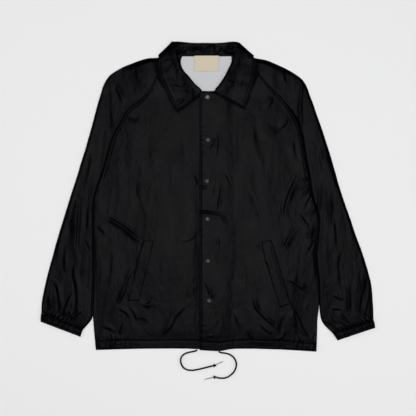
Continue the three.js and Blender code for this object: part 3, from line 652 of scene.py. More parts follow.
def frontPlan(hem, neckEdge, edgeX, rows, end, side):
    # the panel seen from above: a blend of its hem, neck edge, front edge and side edge
    outer = sideLine(rows, end, 0, side)
    # the first rows run even with the hem, so that its casing has rows of its own
    along = np.concatenate([[0], np.cumsum(np.hypot(*np.diff(outer, axis=0).T))])
    height, casing = neckEdge[0][1] - hem[0][1], 60
    above = casing + (along - casing) * (height - casing) / (along[-1] - casing)
    rise = np.where(along < casing, along, above)
    edge = np.stack([np.full(rowCount, float(edgeX)), hem[0][1] + rise], 1)
    bottom, top = onCurve(hem, columnShares), onCurve(neckEdge, columnShares)
    return blend(bottom, top, edge, outer, columnShares, rowShares), outer


frontRightCreases = [
    ([(-266.8, -47.6), (-222.6, -73.6), (-201.8, -89.2), (-186.2, -103.8), (-172, -112), (-160, -119)],
     7, 3.0),
    ([(-287.6, -76.2), (-272, -91.8), (-264.2, -102.2)], 7, 1.8),
    ([(-214.8, 220.2), (-190, 209.8), (-175.8, 204.6)], 16, -2.0),
    ([(-173.2, -268.6), (-155, -279), (-147.2, -268.6), (-134.2, -279), (-129, -297.2)], 6, 1.8),
    ([(-230.4, -292), (-212.2, -302.4), (-204.4, -318)], 6, 1.8),
    ([(-204.4, -286.8), (-191.4, -302.4), (-183.6, -323.2)], 6, 1.8),
    ([(-183.6, -312.8), (-168, -310.2), (-152.4, -320.6)], 5, 1.3),
    ([(-269.4, -338.8), (-253.8, -344), (-240.8, -354.4)], 6, 1.8),
    ([(-214.8, -323.2), (-225.2, -341.4), (-230.4, -359.6)], 6, 1.6),
    ([(-51, -281.6), (-66.6, -294.6), (-82.2, -312.8), (-95.2, -336.2), (-108.2, -351.8), (-121.2, -364.8)],
     10, 2.0),
    ([(-123.8, -138.6), (-121, -190), (-118.6, -242.6)], 18, 0.6),
    ([(-97.8, -150), (-100, -240)], 14, 0.55),
    ([(-188.8, -177.6), (-201.8, -203.6), (-214.8, -242.6), (-227.8, -273.8), (-240, -298)], 6, 2.2),
    ([(-150, 170), (-146, 110), (-140, 60)], 24, 0.9),
    ([(-100, 120), (-95, 40), (-92, -20)], 20, 0.7),
    ([(-230, 120), (-222, 60), (-215, 0)], 22, 1.3),
    ([(-70, 190), (-64, 130), (-66, 80)], 18, 0.8),
    ([(-182, 60), (-176, -10), (-160, -70)], 20, 0.7),
    ([(-60, -60), (-66, -140), (-58, -220)], 16, 0.6),
    ([(-248, -130), (-250, -200), (-262, -262)], 12, 0.8),
    ([(-24, -226), (-44, -238), (-60, -262)], 8, 0.9),
    ([(-24, -96), (-46, -112), (-72, -118)], 9, 0.8),
]
frontLeftCreases = [
    ([(172, 262), (164.8, 243.6), (150, 222)], 8, 1.2),
    ([(190, 246), (209, 212.4), (203.8, 186.4), (182, 168)], 9, 1.4),
    ([(156, 192), (175, 181), (194, 172)], 14, -1.2),
    ([(106, 236), (118, 173.4), (128.4, 121.4), (146, 70)], 22, 1.5),
    ([(118, 69.4), (125.8, 17.4), (136.2, -21.6), (141.4, -81.4)], 15, -1.8),
    ([(104, 44), (125.8, -8.6), (146, -62)], 14, 1.3),
    ([(42.6, 64.2), (48, 50), (57, 32)], 5, 0.8),
    ([(240.2, 69.4), (232.4, 56.4), (214.2, 17.4), (201.2, -21.6), (196, -65.8)], 9, 2.6),
    ([(266, 42), (254, 28), (238, 8)], 6, 1.4),
    ([(236, -42), (250, -60), (268, -86)], 6, 1.5),
    ([(235, -71), (219.4, -91.8), (206.4, -112.6), (193.4, -141.2)], 8, 2.2),
    ([(271.4, -65.8), (263.6, -91.8), (255.8, -112.6)], 7, 1.8),
    ([(274, -112.6), (261, -141.2)], 7, 1.6),
    ([(204, -214), (222, -223), (240, -236), (252, -248)], 9, 2.4),
    ([(248, -276.4), (258.4, -302.4)], 6, 1.6),
    ([(219.4, -294.6), (229.8, -325.8), (235, -341.4)], 7, 2.0),
    ([(258.4, -315.4), (274, -336.2), (281.8, -351.8)], 6, 1.8),
    ([(119, -246), (121.4, -281.6), (132.5, -299.4), (147.9, -314.9), (165.6, -330.3), (180, -345)], 6, 2.4),
    ([(178.9, -348), (183.3, -321.5), (196.6, -299.4)], 6, 1.9),
    ([(134.6, -330.2), (150, -346), (165.6, -358)], 5, 1.6),
    ([(193.4, -341.4), (190.8, -359.6), (177.8, -367.4)], 6, 1.5),
    ([(107.6, -336.2), (112.8, -354.4), (123.2, -372.6)], 6, 1.5),
    ([(125.8, -120.4), (133.6, -141.2)], 5, 1.2),
    ([(138.8, -162), (154.4, -172.4), (159.6, -190.6)], 5, 1.2),
    ([(216.8, -279), (232.4, -307.6), (245.4, -336.2), (258.4, -359.6), (274, -386)], 5.5, 2.4),
    ([(70, 200), (78, 130), (74, 60)], 20, 0.7),
    ([(176, 130), (180, 60), (168, 0)], 18, 0.7),
    ([(64, -60), (70, -140), (62, -230)], 18, 0.7),
    ([(92, -150), (104, -220), (98, -280)], 14, 0.7),
    ([(60, -290), (76, -320), (84, -352)], 9, 1.2),
    ([(222, 150), (226, 110), (240, 86)], 10, 1.1),
    ([(283, 62), (262, 52), (238, 34)], 6, 1.7),
    ([(284, 44), (258, 20), (236, -10)], 5, 1.6),
    ([(283, 20), (262, -6), (246, -40)], 6, 1.7),
    ([(281, -30), (262, -42), (240, -48)], 5, 1.4),
]
# both fronts carry the creases of the placket
placketCreases = [
    ([(-44, -33), (-25, -42.4), (-6.8, -42.4), (11.4, -45), (34.8, -50.2), (47.8, -78.8)], 3.8, 2.6),
    ([(-30, -52), (0, -53), (30, -60)], 4.5, -1.1),
    ([(37.4, 43.4), (32.2, 4.4), (24.4, -39.8)], 4, 1.5),
    ([(21.8, 48.6), (16, 18), (11.4, -8.6)], 3.5, 0.9),
    ([(-19.8, 27.8), (1, 25.2)], 4, 1.4),
    ([(-35.4, 59), (-29, 40), (-22.4, 22.6)], 5, 1.3),
    ([(8.8, 155.2), (14, 139.6), (3.6, 121.4)], 4, 1.4),
    ([(-19.8, 235.8), (-1.6, 235.8)], 3.5, 1.0),
    ([(-19.8, 111), (-4.2, 111)], 3.5, 1.0),
    ([(-9.4, -219.2), (1, -240), (6.2, -260.8)], 5, 1.8),
    ([(8, -262), (19.2, -263.4)], 6, -1.2),
    ([(-1.6, -363.5), (16.6, -363.5)], 4, 1.0),
    ([(20, 178), (28, 140), (24, 96)], 7, 0.9),
    ([(24, -92), (30, -130), (22, -176)], 7, 0.9),
    ([(26, -290), (34, -320), (28, -352)], 6, 0.9),
]


waveHeights = {"broad": 1.5, "middle": 0.36, "fine": 0.15, "crumple": 0.04}


def undulation(x, y, seed):
    # broad soft waves along the cloth's length, shorter ones over them, and fine crumples
    broad = waveHeights["broad"] * softNoise(x, y, 66, 160, seed)
    broad = broad + waveHeights["middle"] * softNoise(x + 0.3 * y, y, 30, 84, seed + 1)
    fine = waveHeights["fine"] * softNoise(x - 0.12 * y, y, 10, 90, seed + 2)
    fine = fine + waveHeights["crumple"] * softNoise(x, y, 4.5, 12, seed + 3)
    return broad + fine


gather = {"pitch": 8.2, "power": 0.5, "start": 5, "fade": (26, 44)}


def hemGathers(x, y, hemY, places, seed):
    # the casing is drawn up near the side seams: upright waves, highest in the middle of the casing
    up = y - hemY
    height = np.zeros(x.shape)
    for centre, width, depth in places:
        near = np.exp(-(((x - centre) / width) ** 2))
        phase = x / gather["pitch"] + 0.5 * np.sin(x / 7.7 + seed) + 0.22 * np.sin(up / 5 + x / 13)
        wave = 2 * np.abs(np.sin(np.pi * phase)) ** gather["power"] - 1
        height += depth * near * wave * smooth(up, 0, gather["start"]) * (1 - smooth(up, *gather["fade"]))
    return height


def frontSurface(plan, outer, side, creases, seed, gathers):
    # heights over the plan: the swelling of the body, folds, waves, puckers and grooves are added up,
    # the part under the other front stays flat, and nothing goes below the cloth of the back
    x, y = plan[..., 0], plan[..., 1]
    hemY = np.broadcast_to(plan[0, :, 1], x.shape)
    u = np.broadcast_to(columnShares[None, :], x.shape)
    v = np.broadcast_to(rowShares[:, None], x.shape)
    fromSeam = panel["half"] * (1 - u)
    loft = cloth["bodyPuff"] * smooth(u, 1, 0.55) * smooth(v, 0, 0.06) * swellPastNeck(x, y)
    nearNeck = 0.3 + 0.7 * swellPastNeck(x, y)
    folds = creaseHeight(x, y, creases + placketCreases) * smooth(fromSeam, 0, 9) * clearOfNeck(x, y)
    waves = undulation(x, y, seed) * smooth(fromSeam, 0, 10) * nearNeck * smooth(y - hemY, 4, 30)
    seams = seamPuckers(x, y, outer[::4, :2], fromSeam, 11, seed, seed) * (0.2 + 0.8 * smooth(v, 0.4, 0.52))
    seams += puckers(x, y, plan[0, ::3] + (0, cloth["hemDepth"]), 8.5, 0.3, 9, seed + 2)
    seams += hemGathers(x, y, hemY, gathers, seed)
    if side < 0:
        under = smooth(x, cloth["leftFrontEdge"] + 8, cloth["leftFrontEdge"] - 22)
        lift = 0
    else:
        under = 1
        lift = overlapLift(x)
        line = np.array([(placket["stitches"], -398), (placket["stitches"], 274)])
        seams += puckers(x, y, line, 17, 0.28, 8, seed + 3) * smooth(x, cloth["leftFrontEdge"], -18)
    hemRise = cloth["hemLift"] * (1 - smooth(y, hemY + 19, hemY + 25))
    raised = np.maximum((loft + folds + waves + 0.5 * nearNeck * smooth(fromSeam, 0, 2.6)) * under, 0)
    height = raised + np.maximum(seams * under, -0.25 - raised) + hemRise
    raglan = smooth(v, 0.49, 0.51)
    height += groove(y - hemY - cloth["hemDepth"], 1.2, 0.6)
    near, wide = panel["stitches"]
    height += (groove(fromSeam - near, 0.8, 0.25) + groove(fromSeam - wide, 0.9, 0.4)) * raglan
    height += rolled(fromSeam, 2.0, 0.6) + rolled(y - hemY, 3.2, 1.2)
    if side > 0:
        height += groove(x - placket["stitches"], 1.0, 0.45)
        height += rolled(x - cloth["leftFrontEdge"], *placket["roll"])
    height += besideCollar(x, y)
    if side > 0:
        height += besideNeck(x, y) + rolled((1 - v) * 670, 2.6, 1.2)
    z = cloth["top"] + neckLift(x, y, 30) + lift + height
    return np.stack([x, y, z], axis=2)


# drawn-up places at the hem: middle, width, height of the gathers
gathersRight = [(-268, 30, 1.5), (-225, 26, 0.8)]
gathersLeft = [(258, 32, 1.5), (206, 26, 0.8)]
edgeRight, edgeLeft = cloth["rightFrontEdge"], cloth["leftFrontEdge"]
planRight, seamRight = frontPlan(hemRight, neckRight, edgeRight, sleeveRightRows, sideEndRight, -1)
planLeft, seamLeft = frontPlan(hemLeft, neckLeft, edgeLeft, sleeveLeftRows, sideEndLeft, 1)
frontRightGrid = frontSurface(planRight, seamRight, -1, frontRightCreases, 11, gathersRight)
frontLeftGrid = frontSurface(planLeft, seamLeft, 1, frontLeftCreases, 29, gathersLeft)
frontRight = clothShell("frontRight", frontRightGrid, lowered(frontRightGrid, cloth["thin"]), blackNylon)
frontLeft = clothShell("frontLeft", frontLeftGrid, lowered(frontLeftGrid, cloth["thin"]), blackNylon)
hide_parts("front_right")
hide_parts("front_left")

# the back lies flat on the floor, under everything
backColumnShares = shares(580, 30)


backColumn = 4  # where the back seam stands in the sleeves' rows
backPlan = blend(
    onCurve(hemBack, backColumnShares), onCurve(neckBack, backColumnShares),
    sideLine(sleeveRightRows, sideEndRight, backColumn, -1),
    sideLine(sleeveLeftRows, sideEndLeft, backColumn, 1),
    backColumnShares, rowShares,
)
backX, backY = backPlan[..., 0], backPlan[..., 1]
backZ = cloth["wall"] + neckLift(backX, backY)
backGrid = np.dstack([backX, backY, backZ])
backUnder = np.dstack([backX, backY, neckLift(backX, backY) + 0.02])
back = clothShell("backPanel", backGrid, backUnder, blackNylon)
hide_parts("back")
print("body panels made")

# sleeves

sleeveRightCreases = [
    ([(-350, 9.6), (-337, -16.4), (-338.3, -47.6), (-340.9, -99.6), (-342.2, -125.6), (-337, -151.6),
      (-326.6, -162)], 9, 2.4),
    ([(-342.2, -169.8), (-348.7, -195.8), (-342.2, -229.6), (-339.6, -268.6), (-340.9, -302.4)], 9, 2.2),
    ([(-404.6, -219.2), (-391.6, -237.4), (-386.4, -268.6), (-385.1, -299.8)], 7, 2.0),
    ([(-407.2, -250.4), (-404.6, -281.6), (-409.8, -307.6)], 6, 1.8),
    ([(-352.6, -250.4), (-368.2, -281.6), (-376, -315.4)], 7, 1.8),
    ([(-360.4, -294.6), (-352.6, -320.6)], 5, 1.5),
    ([(-324, -292), (-342.2, -312.8), (-350, -328.4)], 6, 1.8),
    ([(-316.2, -117.8), (-303.2, -138.6)], 6, 1.4),
    ([(-243.4, 298.2), (-233, 272.2), (-217.4, 241)], 9, 2.0),
    ([(-261.6, 287.8), (-259, 251.4), (-256.4, 212.4), (-253.8, 186.4), (-251.2, 152.6)], 9, -1.8),
    ([(-220, 345), (-214, 290)], 9, 1.2),
    ([(-199.2, 340), (-196, 285)], 9, 1.2),
    ([(-178.4, 345), (-176, 282)], 9, 1.2),
    ([(-160.2, 335), (-158, 300)], 9, 1.0),
    ([(-300, 120), (-308, 70), (-320, 20)], 14, 1.2),
    ([(-330, 60), (-348, 0), (-362, -60)], 12, 1.0),
    ([(-375, -80), (-388, -130), (-398, -180)], 10, 1.0),
    ([(-310, -20), (-312, -90)], 10, 1.0),
    ([(-312, -170), (-318, -220), (-314, -262)], 9, 1.0),
    ([(-366, -120), (-372, -160), (-368, -206)], 10, 1.1),
]
sleeveLeftCreases = [
    ([(250, 305), (246, 270), (244.1, 225.4), (246, 160)], 6, 2.0),
    ([(292, 40), (287, 0), (286, -46)], 6, 1.4),
    ([(316, 16), (313, -40), (317, -98)], 7, 1.6),
    ([(328.6, -65.8), (331.2, -99.6), (333.8, -130.8)], 8, 1.8),
    ([(361.1, -219.2), (362.4, -268.6), (361.1, -305)], 5, 2.3),
    ([(401.4, -185.4), (398.8, -229.6), (391, -268.6), (385.8, -315.4)], 6, 2.3),
    ([(417, -268.6), (406.6, -315.4)], 6, 1.8),
    ([(323.4, -255.6), (339, -263.4), (354.6, -271.2)], 6, 1.6),
    ([(320.8, -289.4), (344.2, -294.6)], 6, 1.6),
    ([(341.6, -297.2), (357.2, -315.4), (372.8, -336.2)], 6, 1.8),
    ([(302.6, -318), (323.4, -338.8), (339, -351.8)], 6, 1.8),
    ([(333.8, -315.4), (339, -333.6), (354.6, -344)], 5, 1.4),
    ([(196, 330), (202, 292)], 9, 1.1),
    ([(218, 316), (221, 272)], 9, 1.0),
    ([(284, 130), (294, 90), (300, 40)], 12, 1.1),
    ([(308, 110), (324, 60), (334, 16)], 10, 0.9),
    ([(352, -20), (366, -80), (372, -140)], 12, 1.1),
    ([(306, -110), (304, -160), (314, -214)], 10, 1.2),
    ([(340, -140), (338, -190), (344, -236)], 10, 1.0),
    ([(380, -150), (384, -200), (380, -240)], 9, 1.0),
]


armShape = {"width": 110, "puff": 0.55, "seamEdge": 6, "gathers": 1.6, "longGathers": 0.6, "power": 0.5}


def sleeve(name, rows, side, creases, seed, armLength):
    # a C section at each station: flat top with its folds, a half circle at the outline, flat back
    # on the floor
    rows = np.array(rows, float)
    raglanAt = upperShares
    armAt = np.linspace(0, 1, 201)[1:]
    arm = through(rows[underarmRow:], armAt)
    pairs = []
    for k in (0, 2, 4):
        pairs.append(np.vstack([onCurve(rows[: underarmRow + 1, k : k + 2], raglanAt), arm[:, k : k + 2]]))
    seam, fold, backSeam = pairs
    below = np.concatenate([np.zeros(len(raglanAt)), armAt])[:, None]
    width = np.hypot(*(fold - seam).T)[:, None]
    cuffEnd = smooth(below, 0.93, 1)
    flat = cloth["top"] + (6.4 - cloth["top"]) * cuffEnd * 0.8
    radius = flat / 2
    crown = 1 - radius / width
    shift = np.array([side * 0.4, 0.3]) * cloth["seam"]

    def across(start, share):
        # points at shares of the line from a seam to the fold
        begin = start + shift
        return begin[:, None] + share[..., None] * (fold - begin)[:, None]

    steps = np.concatenate([[0, 0.4, 0.9, 1.6, 2.4, 3.4], np.linspace(4.6, armShape["width"], 62)])
    s = np.unique(np.round(steps, 3))[None, :] / armShape["width"]
    top = across(seam, s * crown)
    x, y = top[..., 0], top[..., 1]
    fromSeam, fromFold = s * width, (1 - s) * width
    fromCuff = (1 - below) * armLength + 0 * x
    away = clearOfNeck(x, y)
    swell = swellPastNeck(x, y)
    foldWidth = 5 + 3 * smooth(y, -60, 160)
    puff = armShape["puff"] * cloth["sleevePuff"] * smooth(fromSeam, 0, armShape["seamEdge"])
    puff = puff * smooth(fromFold / foldWidth, 0, 1) * swell * (1 - cuffEnd)
    folds = creaseHeight(x, y, creases) * smooth(fromSeam, 0, 8) * smooth(fromFold, 0, 8) * away
    waves = undulation(x, y, seed) * smooth(fromSeam, 0, 9) * smooth(fromFold, 0, 8) * away
    seams = seamPuckers(x, y, rows[:, 0:2], fromSeam, 10, seed + 0.7, seed)
    seams = seams * (1 - 0.75 * smooth(below, 0, 0.1))
    pitch = fromSeam / 8.6 + 0.4 * np.sin(fromSeam / 12 + seed) + fromCuff / 90 * np.sin(fromSeam / 25)
    ridge = 2 * np.abs(np.sin(np.pi * pitch)) ** armShape["power"] - 1
    depth = armShape["gathers"] * np.exp(-fromCuff / 16) + armShape["longGathers"] * np.exp(-fromCuff / 50)
    gathered = ridge * depth
    gathered = gathered * smooth(fromSeam, 0, 8) * smooth(fromFold, 0, 8) * smooth(below, 0.3, 0.7)
    raised = np.maximum(puff + folds + waves + gathered + 0.5 * swell * smooth(fromSeam, 0, 2.6), 0)
    height = raised + np.maximum(seams, -0.25 - raised) + rolled(fromSeam, 2.0, 0.6)
    lift = neckLift(x, y, 30)
    topGrid = np.dstack([x, y, flat + height + lift + besideCollar(x, y) * smooth(fromFold, 0, 12)])

    angle = (np.pi * np.arange(1, 12) / 12)[None, :]
    edge = across(seam, crown + np.sin(angle) * radius / width)
    wobble = 0.5 * softNoise(edge[..., 0], edge[..., 1], 30, 30, seed + 5) * np.sin(angle)
    edgeZ = radius * (1 + np.cos(angle)) + neckLift(edge[..., 0], edge[..., 1], 30) * (1 + np.cos(angle)) / 2
    direction = (fold - seam) / width
    edge = edge + (wobble * away[:, :1])[..., None] * direction[:, None]
    edgeGrid = np.dstack([edge, edgeZ])

    under = across(backSeam, crown * (1 - np.linspace(0, 1, 14))[None, :])
    underGrid = np.dstack([under, 0.02 + neckLift(under[..., 0], under[..., 1], 0) * 0.97])

    outer = np.concatenate([topGrid, edgeGrid, underGrid], axis=1)
    thin = cloth["thin"]
    innerTop = lowered(topGrid, thin)
    inward = across(seam, crown + np.sin(angle) * np.maximum(radius - thin, 0.1) / width)
    inwardZ = radius + np.cos(angle) * np.maximum(radius - thin, 0.1)
    inwardZ = inwardZ + neckLift(edge[..., 0], edge[..., 1], 30) * (1 + np.cos(angle)) / 2
    innerEdge = np.dstack([inward, inwardZ])
    innerUnder = underGrid + np.array([0, 0, thin])
    inner = np.concatenate([innerTop, innerEdge, innerUnder], axis=1)
    return clothShell(name, outer, inner, blackNylon)


sleeveRight = sleeve("sleeveRight", sleeveRightRows, -1, sleeveRightCreases, 41, 402)
sleeveLeft = sleeve("sleeveLeft", sleeveLeftRows, 1, sleeveLeftCreases, 57, 420)
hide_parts("sleeve_right")
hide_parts("sleeve_left")
print("sleeves made")


# elastic cuffs: a flattened ring drawn into puffs with sharp valleys, held by rows of stitches

cuff = {
    "puff": 10.4,  # width of a gather
    "power": 0.3,  # below 1 its top is flat and its valley sharp
    "scallop": 2.2,
    "stitches": (0.3, 0.7),  # shares of the cuff's length
    "halfway": 3.9,  # height of its middle
    "wall": 0.9,
}


def cuffRing(name, rows, seed):
    # a flattened ring: puffs are the absolute value of a sine of the place across, raised to a power
    along = np.linspace(0, 1, 25)
    line = through(rows, along)
    onTop = np.sin(np.linspace(-np.pi / 2, np.pi / 2, 230))
    below = np.sin(np.linspace(np.pi / 2, -np.pi / 2, 72))[1:-1]
    across = np.concatenate([onTop, below])[None, :]
    side = np.concatenate([np.ones(len(onTop)), -np.ones(len(below))])[None, :]
    down = along[:, None]
    half = (np.hypot(line[:, 2] - line[:, 0], line[:, 3] - line[:, 1]) / 2)[:, None]
    phase = across * half / cuff["puff"] + 0.3 * np.sin(across * 9 + seed)
    phase = phase + 0.14 * np.sin(across * 23 + 2 * seed)
    phase = phase + 0.16 * np.sin(6 * down + across * 5)
    puff = 2 * np.abs(np.sin(np.pi * phase)) ** cuff["power"] - 1
    middle = 1 - np.abs(2 * down - 1) ** 5
    rowsOfStitches = sum(np.exp(-(((down - at) / 0.05) ** 2)) for at in cuff["stitches"])
    wave = puff * (0.5 + 0.2 * middle - 0.2 * rowsOfStitches)

    def section(depth):
        # rounded box: edge is the root of 1 - place to the fifth power; depth moves it inwards
        edge = np.sqrt(np.clip(1 - np.abs(across) ** 5, 0, 1))
        swell = 0.52 + 0.48 * middle - 0.08 * rowsOfStitches
        z = cuff["halfway"] + side * edge * (cuff["halfway"] * swell - depth) + wave * edge * (side > 0)
        share = (1 + across * (1 - depth / half)) / 2
        x, y = straight(line, share)
        y = y + cuff["scallop"] * puff * (down - 0.5) * (side > 0)
        return np.dstack([x, y, np.maximum(z, 0.02 + depth)])

    outer = section(0)
    return clothShell(name, outer, section(cuff["wall"]), blackNylon, ring=True), outer


cuffRight, cuffRightGrid = cuffRing("cuffRight", cuffRightRows, 1.3)
cuffLeft, cuffLeftGrid = cuffRing("cuffLeft", cuffLeftRows, 2.9)
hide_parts("cuff_right")
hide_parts("cuff_left")
print("cuffs made")


# collar

leaf = {"width": 66, "stitches": 6, "raised": 1.7, "roll": 2.2, "edge": (2.4, 2.0), "fold": (3.8, 2.6)}
leafShares = shares(leaf["width"], 28, extra=(leaf["width"] - stitchPlaces(leaf["stitches"]),))


def collarLeaf():
    # lines from fold to edge, followed along the collar; on top at turn 1, under the back at turn -1
    rows = np.array(fallRows, float)
    t = np.unique(np.concatenate([[0, 0.0005, 0.0012, 0.002, 0.003], np.linspace(0.005, 0.995, 330),
                                  [0.997, 0.998, 0.9988, 0.9995, 1]]))
    line = through(rows[:, :4], t)
    turn = np.interp(t, np.linspace(0, 1, len(rows)), rows[:, 4])[:, None]
    share = leafShares[None, :]
    x, y = straight(line, share)
    length = np.hypot(line[:, 2] - line[:, 0], line[:, 3] - line[:, 1])[:, None]
    fromFold, fromEdge = share * length, (1 - share) * length
    stepX = np.hypot(*np.gradient(line[:, 2:4], axis=0).T)
    fromStart = np.cumsum(stepX)[:, None] + 0 * x
    fromEnd = fromStart[-1:] - fromStart
    fromTip = np.minimum(fromStart, fromEnd)
    overlap = cloth["placketLift"] * smooth(x, -70, -30) * (1 - smooth(x, *placket["step"]))
    roll = leaf["roll"] * (1 - smooth(share, 0.05, 0.5))
    height = cloth["top"] + neckLift(x, y, 30) + overlap + 0.5 + cloth["wall"] + roll
    height = height + leaf["raised"] + 0.45 * undulation(x, y, 11)
    height = height + 0.34 * softNoise(x, y, 24, 15, 77) + 0.1 * softNoise(x, y, 7, 8, 78)
    ripple = np.sin(fromStart / 7 + 1.5 * np.sin(fromStart / 29)) * 0.3 * np.exp(-fromEdge / 12)
    height = height + creaseHeight(x, y, collarCreases) + ripple
    height = height + groove(fromEdge - leaf["stitches"], 1.1, 0.5)
    height = height + groove(fromTip - leaf["stitches"], 1.1, 0.5)
    height = height + rolled(fromEdge, *leaf["edge"]) + rolled(fromFold, *leaf["fold"])
    height = height + rolled(fromTip, *leaf["edge"])
    under = (1 - turn) / 2
    z = 0.03 + (height - 0.03) * (1 - under) + under * 5.6 * smooth(fromFold, 11, 0) ** 1.5
    outer = np.dstack([x, y, z])
    inner = outer + cloth["thin"] * gridNormals(outer)
    return clothShell("collarLeaf", outer, inner, blackNylon), outer


collarCreases = [
    ([(-97.8, 293), (-70, 284), (-38, 277.4)], 7, 0.8),
    ([(-112, 330), (-98, 300), (-84, 262)], 9, 0.7),
    ([(-100, 350), (-88, 340), (-80, 318)], 7, -0.6),
    ([(45.2, 300.8), (71.2, 298.2)], 4, 0.8),
    ([(53, 285.2), (66, 285.2)], 4, 0.8),
    ([(104, 330), (92, 300), (86, 262)], 9, 0.7),
    ([(98, 352), (84, 340), (74, 322)], 7, -0.6),
    ([(-60, 250), (-72, 240), (-76, 232)], 6, 0.5),
]
collar, collarGrid = collarLeaf()
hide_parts("collar_fall")


# height of the band's fold behind the neck, and of its waves
stand = {"height": 4.6, "bow": 0.9, "coarse": 2.4, "fine": 0.9}


def band(name, rows, node, seed):
    # the collar's band: straight lines from the neck seam to the fold
    rows = np.array(rows, float)
    line = through(rows, np.linspace(0, 1, 90))
    share = np.linspace(0, 1, 22)[None, :]
    x, y = straight(line, share)
    bow = stand["bow"] + stand["coarse"] * softNoise(x, y, 12, 22, seed)
    bow = np.maximum(bow + stand["fine"] * softNoise(x, y, 5, 9, seed + 1), -stand["bow"])
    standing = (1 - line[:, 4:5]) * stand["height"] * share**1.3
    z = cloth["top"] + line[:, 4:5] * neckLift(x, y, 30) + bow * np.sin(np.pi * share) + standing
    outer = np.dstack([x, y, z])
    piece = clothShell(name, outer, lowered(outer, cloth["thin"]), blackNylon)
    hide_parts(node)
    return piece


bands = [
    band("bandRight", standRightRows, "collar_stand_right", 3),
    band("bandBack", standBackRows, "collar_stand_back", 4),
    band("bandLeft", standLeftRows, "collar_stand_left", 5),
]
print("collar made")


# lining and label

def liningPatch():
    # straight lines from left to right edge, with creases that fade at both
    rows = np.array(liningRows, float)
    line = through(rows, np.linspace(0, 1, 84))
    share = np.linspace(0, 1, 84)[None, :]
    x = line[:, 1:2] + share * (line[:, 2:3] - line[:, 1:2])
    y = line[:, 0:1] + 0 * x
    edge = np.sin(np.pi * share) ** 0.3
    creases = [
        ([(-50, 358), (-44, 330), (-30, 300)], 7, 0.8),
        ([(44, 356), (34, 330), (20, 306)], 8, 0.7),
        ([(-22, 318), (-10, 300), (-4, 282)], 6, 0.5),
        ([(10, 322), (8, 304), (4, 284)], 6, 0.5),
        ([(-62, 350), (-40, 352), (-20, 360)], 6, 0.4),
    ]
    height = creaseHeight(x, y, creases) + 0.22 * softNoise(x, y, 12, 26, 5) + 0.08 * softNoise(x, y, 4, 7, 6)
    z = cloth["wall"] + neckLift(x, y, 30) + 1.3 + np.maximum(height * edge, -0.35)
    outer = np.dstack([x, y, z])
    piece = clothShell("liningNeck", outer, lowered(outer, 0.5), greyLining)
    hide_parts("lining_neck")
    return piece


lining = liningPatch()

label = {"width": 63, "length": 41, "top": 366.2, "centre": -3.0}


def labelPatch():
    # a rectangle with rolled edges and a groove along its stitches
    across = shares(label["width"], 60, ends=(0, 0.3, 0.7, 1.2, 2))[None, :]
    down = shares(label["length"], 40, ends=(0, 0.3, 0.7, 1.2, 2))[:, None]
    x = label["centre"] + (across - 0.5) * label["width"] + 0 * down
    y = label["top"] - down * label["length"] + 0 * across
    fromSide = np.minimum(across, 1 - across) * label["width"]
    fromTop = np.minimum(down, 1 - down) * label["length"]
    inside = np.minimum(fromSide, fromTop)
    height = 0.25 * softNoise(x, y, 24, 30, 9) + rolled(inside, 0.9, 0.45) + groove(inside - 1.8, 0.4, 0.15)
    z = cloth["wall"] + neckLift(x, y, 30) + 2.7 + 0.5 + height
    outer = np.dstack([x, y, z])
    piece = clothShell("labelPatch", outer, lowered(outer, 0.6), creamLabel)
    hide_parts("label")
    return piece, outer


labelPiece, labelGrid = labelPatch()
print("lining and label made")


# heights of a finished grid at other places

def heightOn(grid, x, y):
    # weight of a point: 1 / (distance squared + 0.3) squared; only near points are read
    flat = grid.reshape(-1, 3)
    places = np.stack([np.ravel(x), np.ravel(y)], 1)
    result = np.empty(len(places))
    for start in range(0, len(places), 400):
        part = places[start : start + 400]
        near = flat[(np.abs(flat[:, 0] - part[:, 0].mean()) < np.ptp(part[:, 0]) + 12)
                    & (np.abs(flat[:, 1] - part[:, 1].mean()) < np.ptp(part[:, 1]) + 12)]
        squared = (part[:, None, 0] - near[None, :, 0]) ** 2 + (part[:, None, 1] - near[None, :, 1]) ** 2
        weight = 1 / (squared + 0.3) ** 2
        result[start : start + 400] = (weight * near[None, :, 2]).sum(1) / weight.sum(1)
    return result.reshape(np.shape(x))


# pocket welts: strips on the fronts, open along their outer edge

strip = {"length": 172, "width": 31, "stitches": 2, "raised": 1.1, "gape": 1.4, "edge": (3.8, 2.6)}
stripDown = shares(strip["length"], 70)
stripAcross = shares(strip["width"], 12, extra=(stitchPlaces(strip["stitches"]),))


def welt(name, rows, front, node, seed):
    # a strip over the front's own heights, bowed up along its open edge by half a sine of its length
    line = through(np.array(rows, float), stripDown)
    share = stripAcross[None, :]
    x, y = straight(line, share)
    down = stripDown[:, None] * strip["length"] + 0 * x
    fromEnd = np.minimum(down, strip["length"] - down)
    fromInner, fromOuter = strip["width"] * share, strip["width"] * (1 - share)
    bow = strip["gape"] * smooth(fromOuter, 14, 0) * np.sin(np.pi * down / strip["length"]) ** 0.5
    height = strip["raised"] + bow + 0.2 * softNoise(x, y, 13, 40, seed)
    height = height + 0.16 * np.sin(down / 3.1 + np.sin(down / 9)) * np.exp(-((fromInner - 2) / 3) ** 2)
    height = height + groove(fromInner - strip["stitches"], 0.8, 0.35)
    height = height + groove(fromEnd - strip["stitches"], 0.8, 0.35)
    height = height + rolled(fromInner, 2.2, 0.9) + rolled(fromEnd, 1.8, 0.9)
    height = height + rolled(fromOuter, *strip["edge"])
    z = heightOn(front, x, y) + height
    outer = np.dstack([x, y, z])
    piece = clothShell(name, outer, lowered(outer, cloth["thin"]), blackNylon)
    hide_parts(node)
    return piece, outer


weltRight, weltRightGrid = welt("weltRight", weltRightRows, frontRightGrid, "pocket_welt_right", 21)
weltLeft, weltLeftGrid = welt("weltLeft", weltLeftRows, frontLeftGrid, "pocket_welt_left", 22)
print("welts made")

# stitches: short capsules along a line on the cloth, their ends pulled down into it

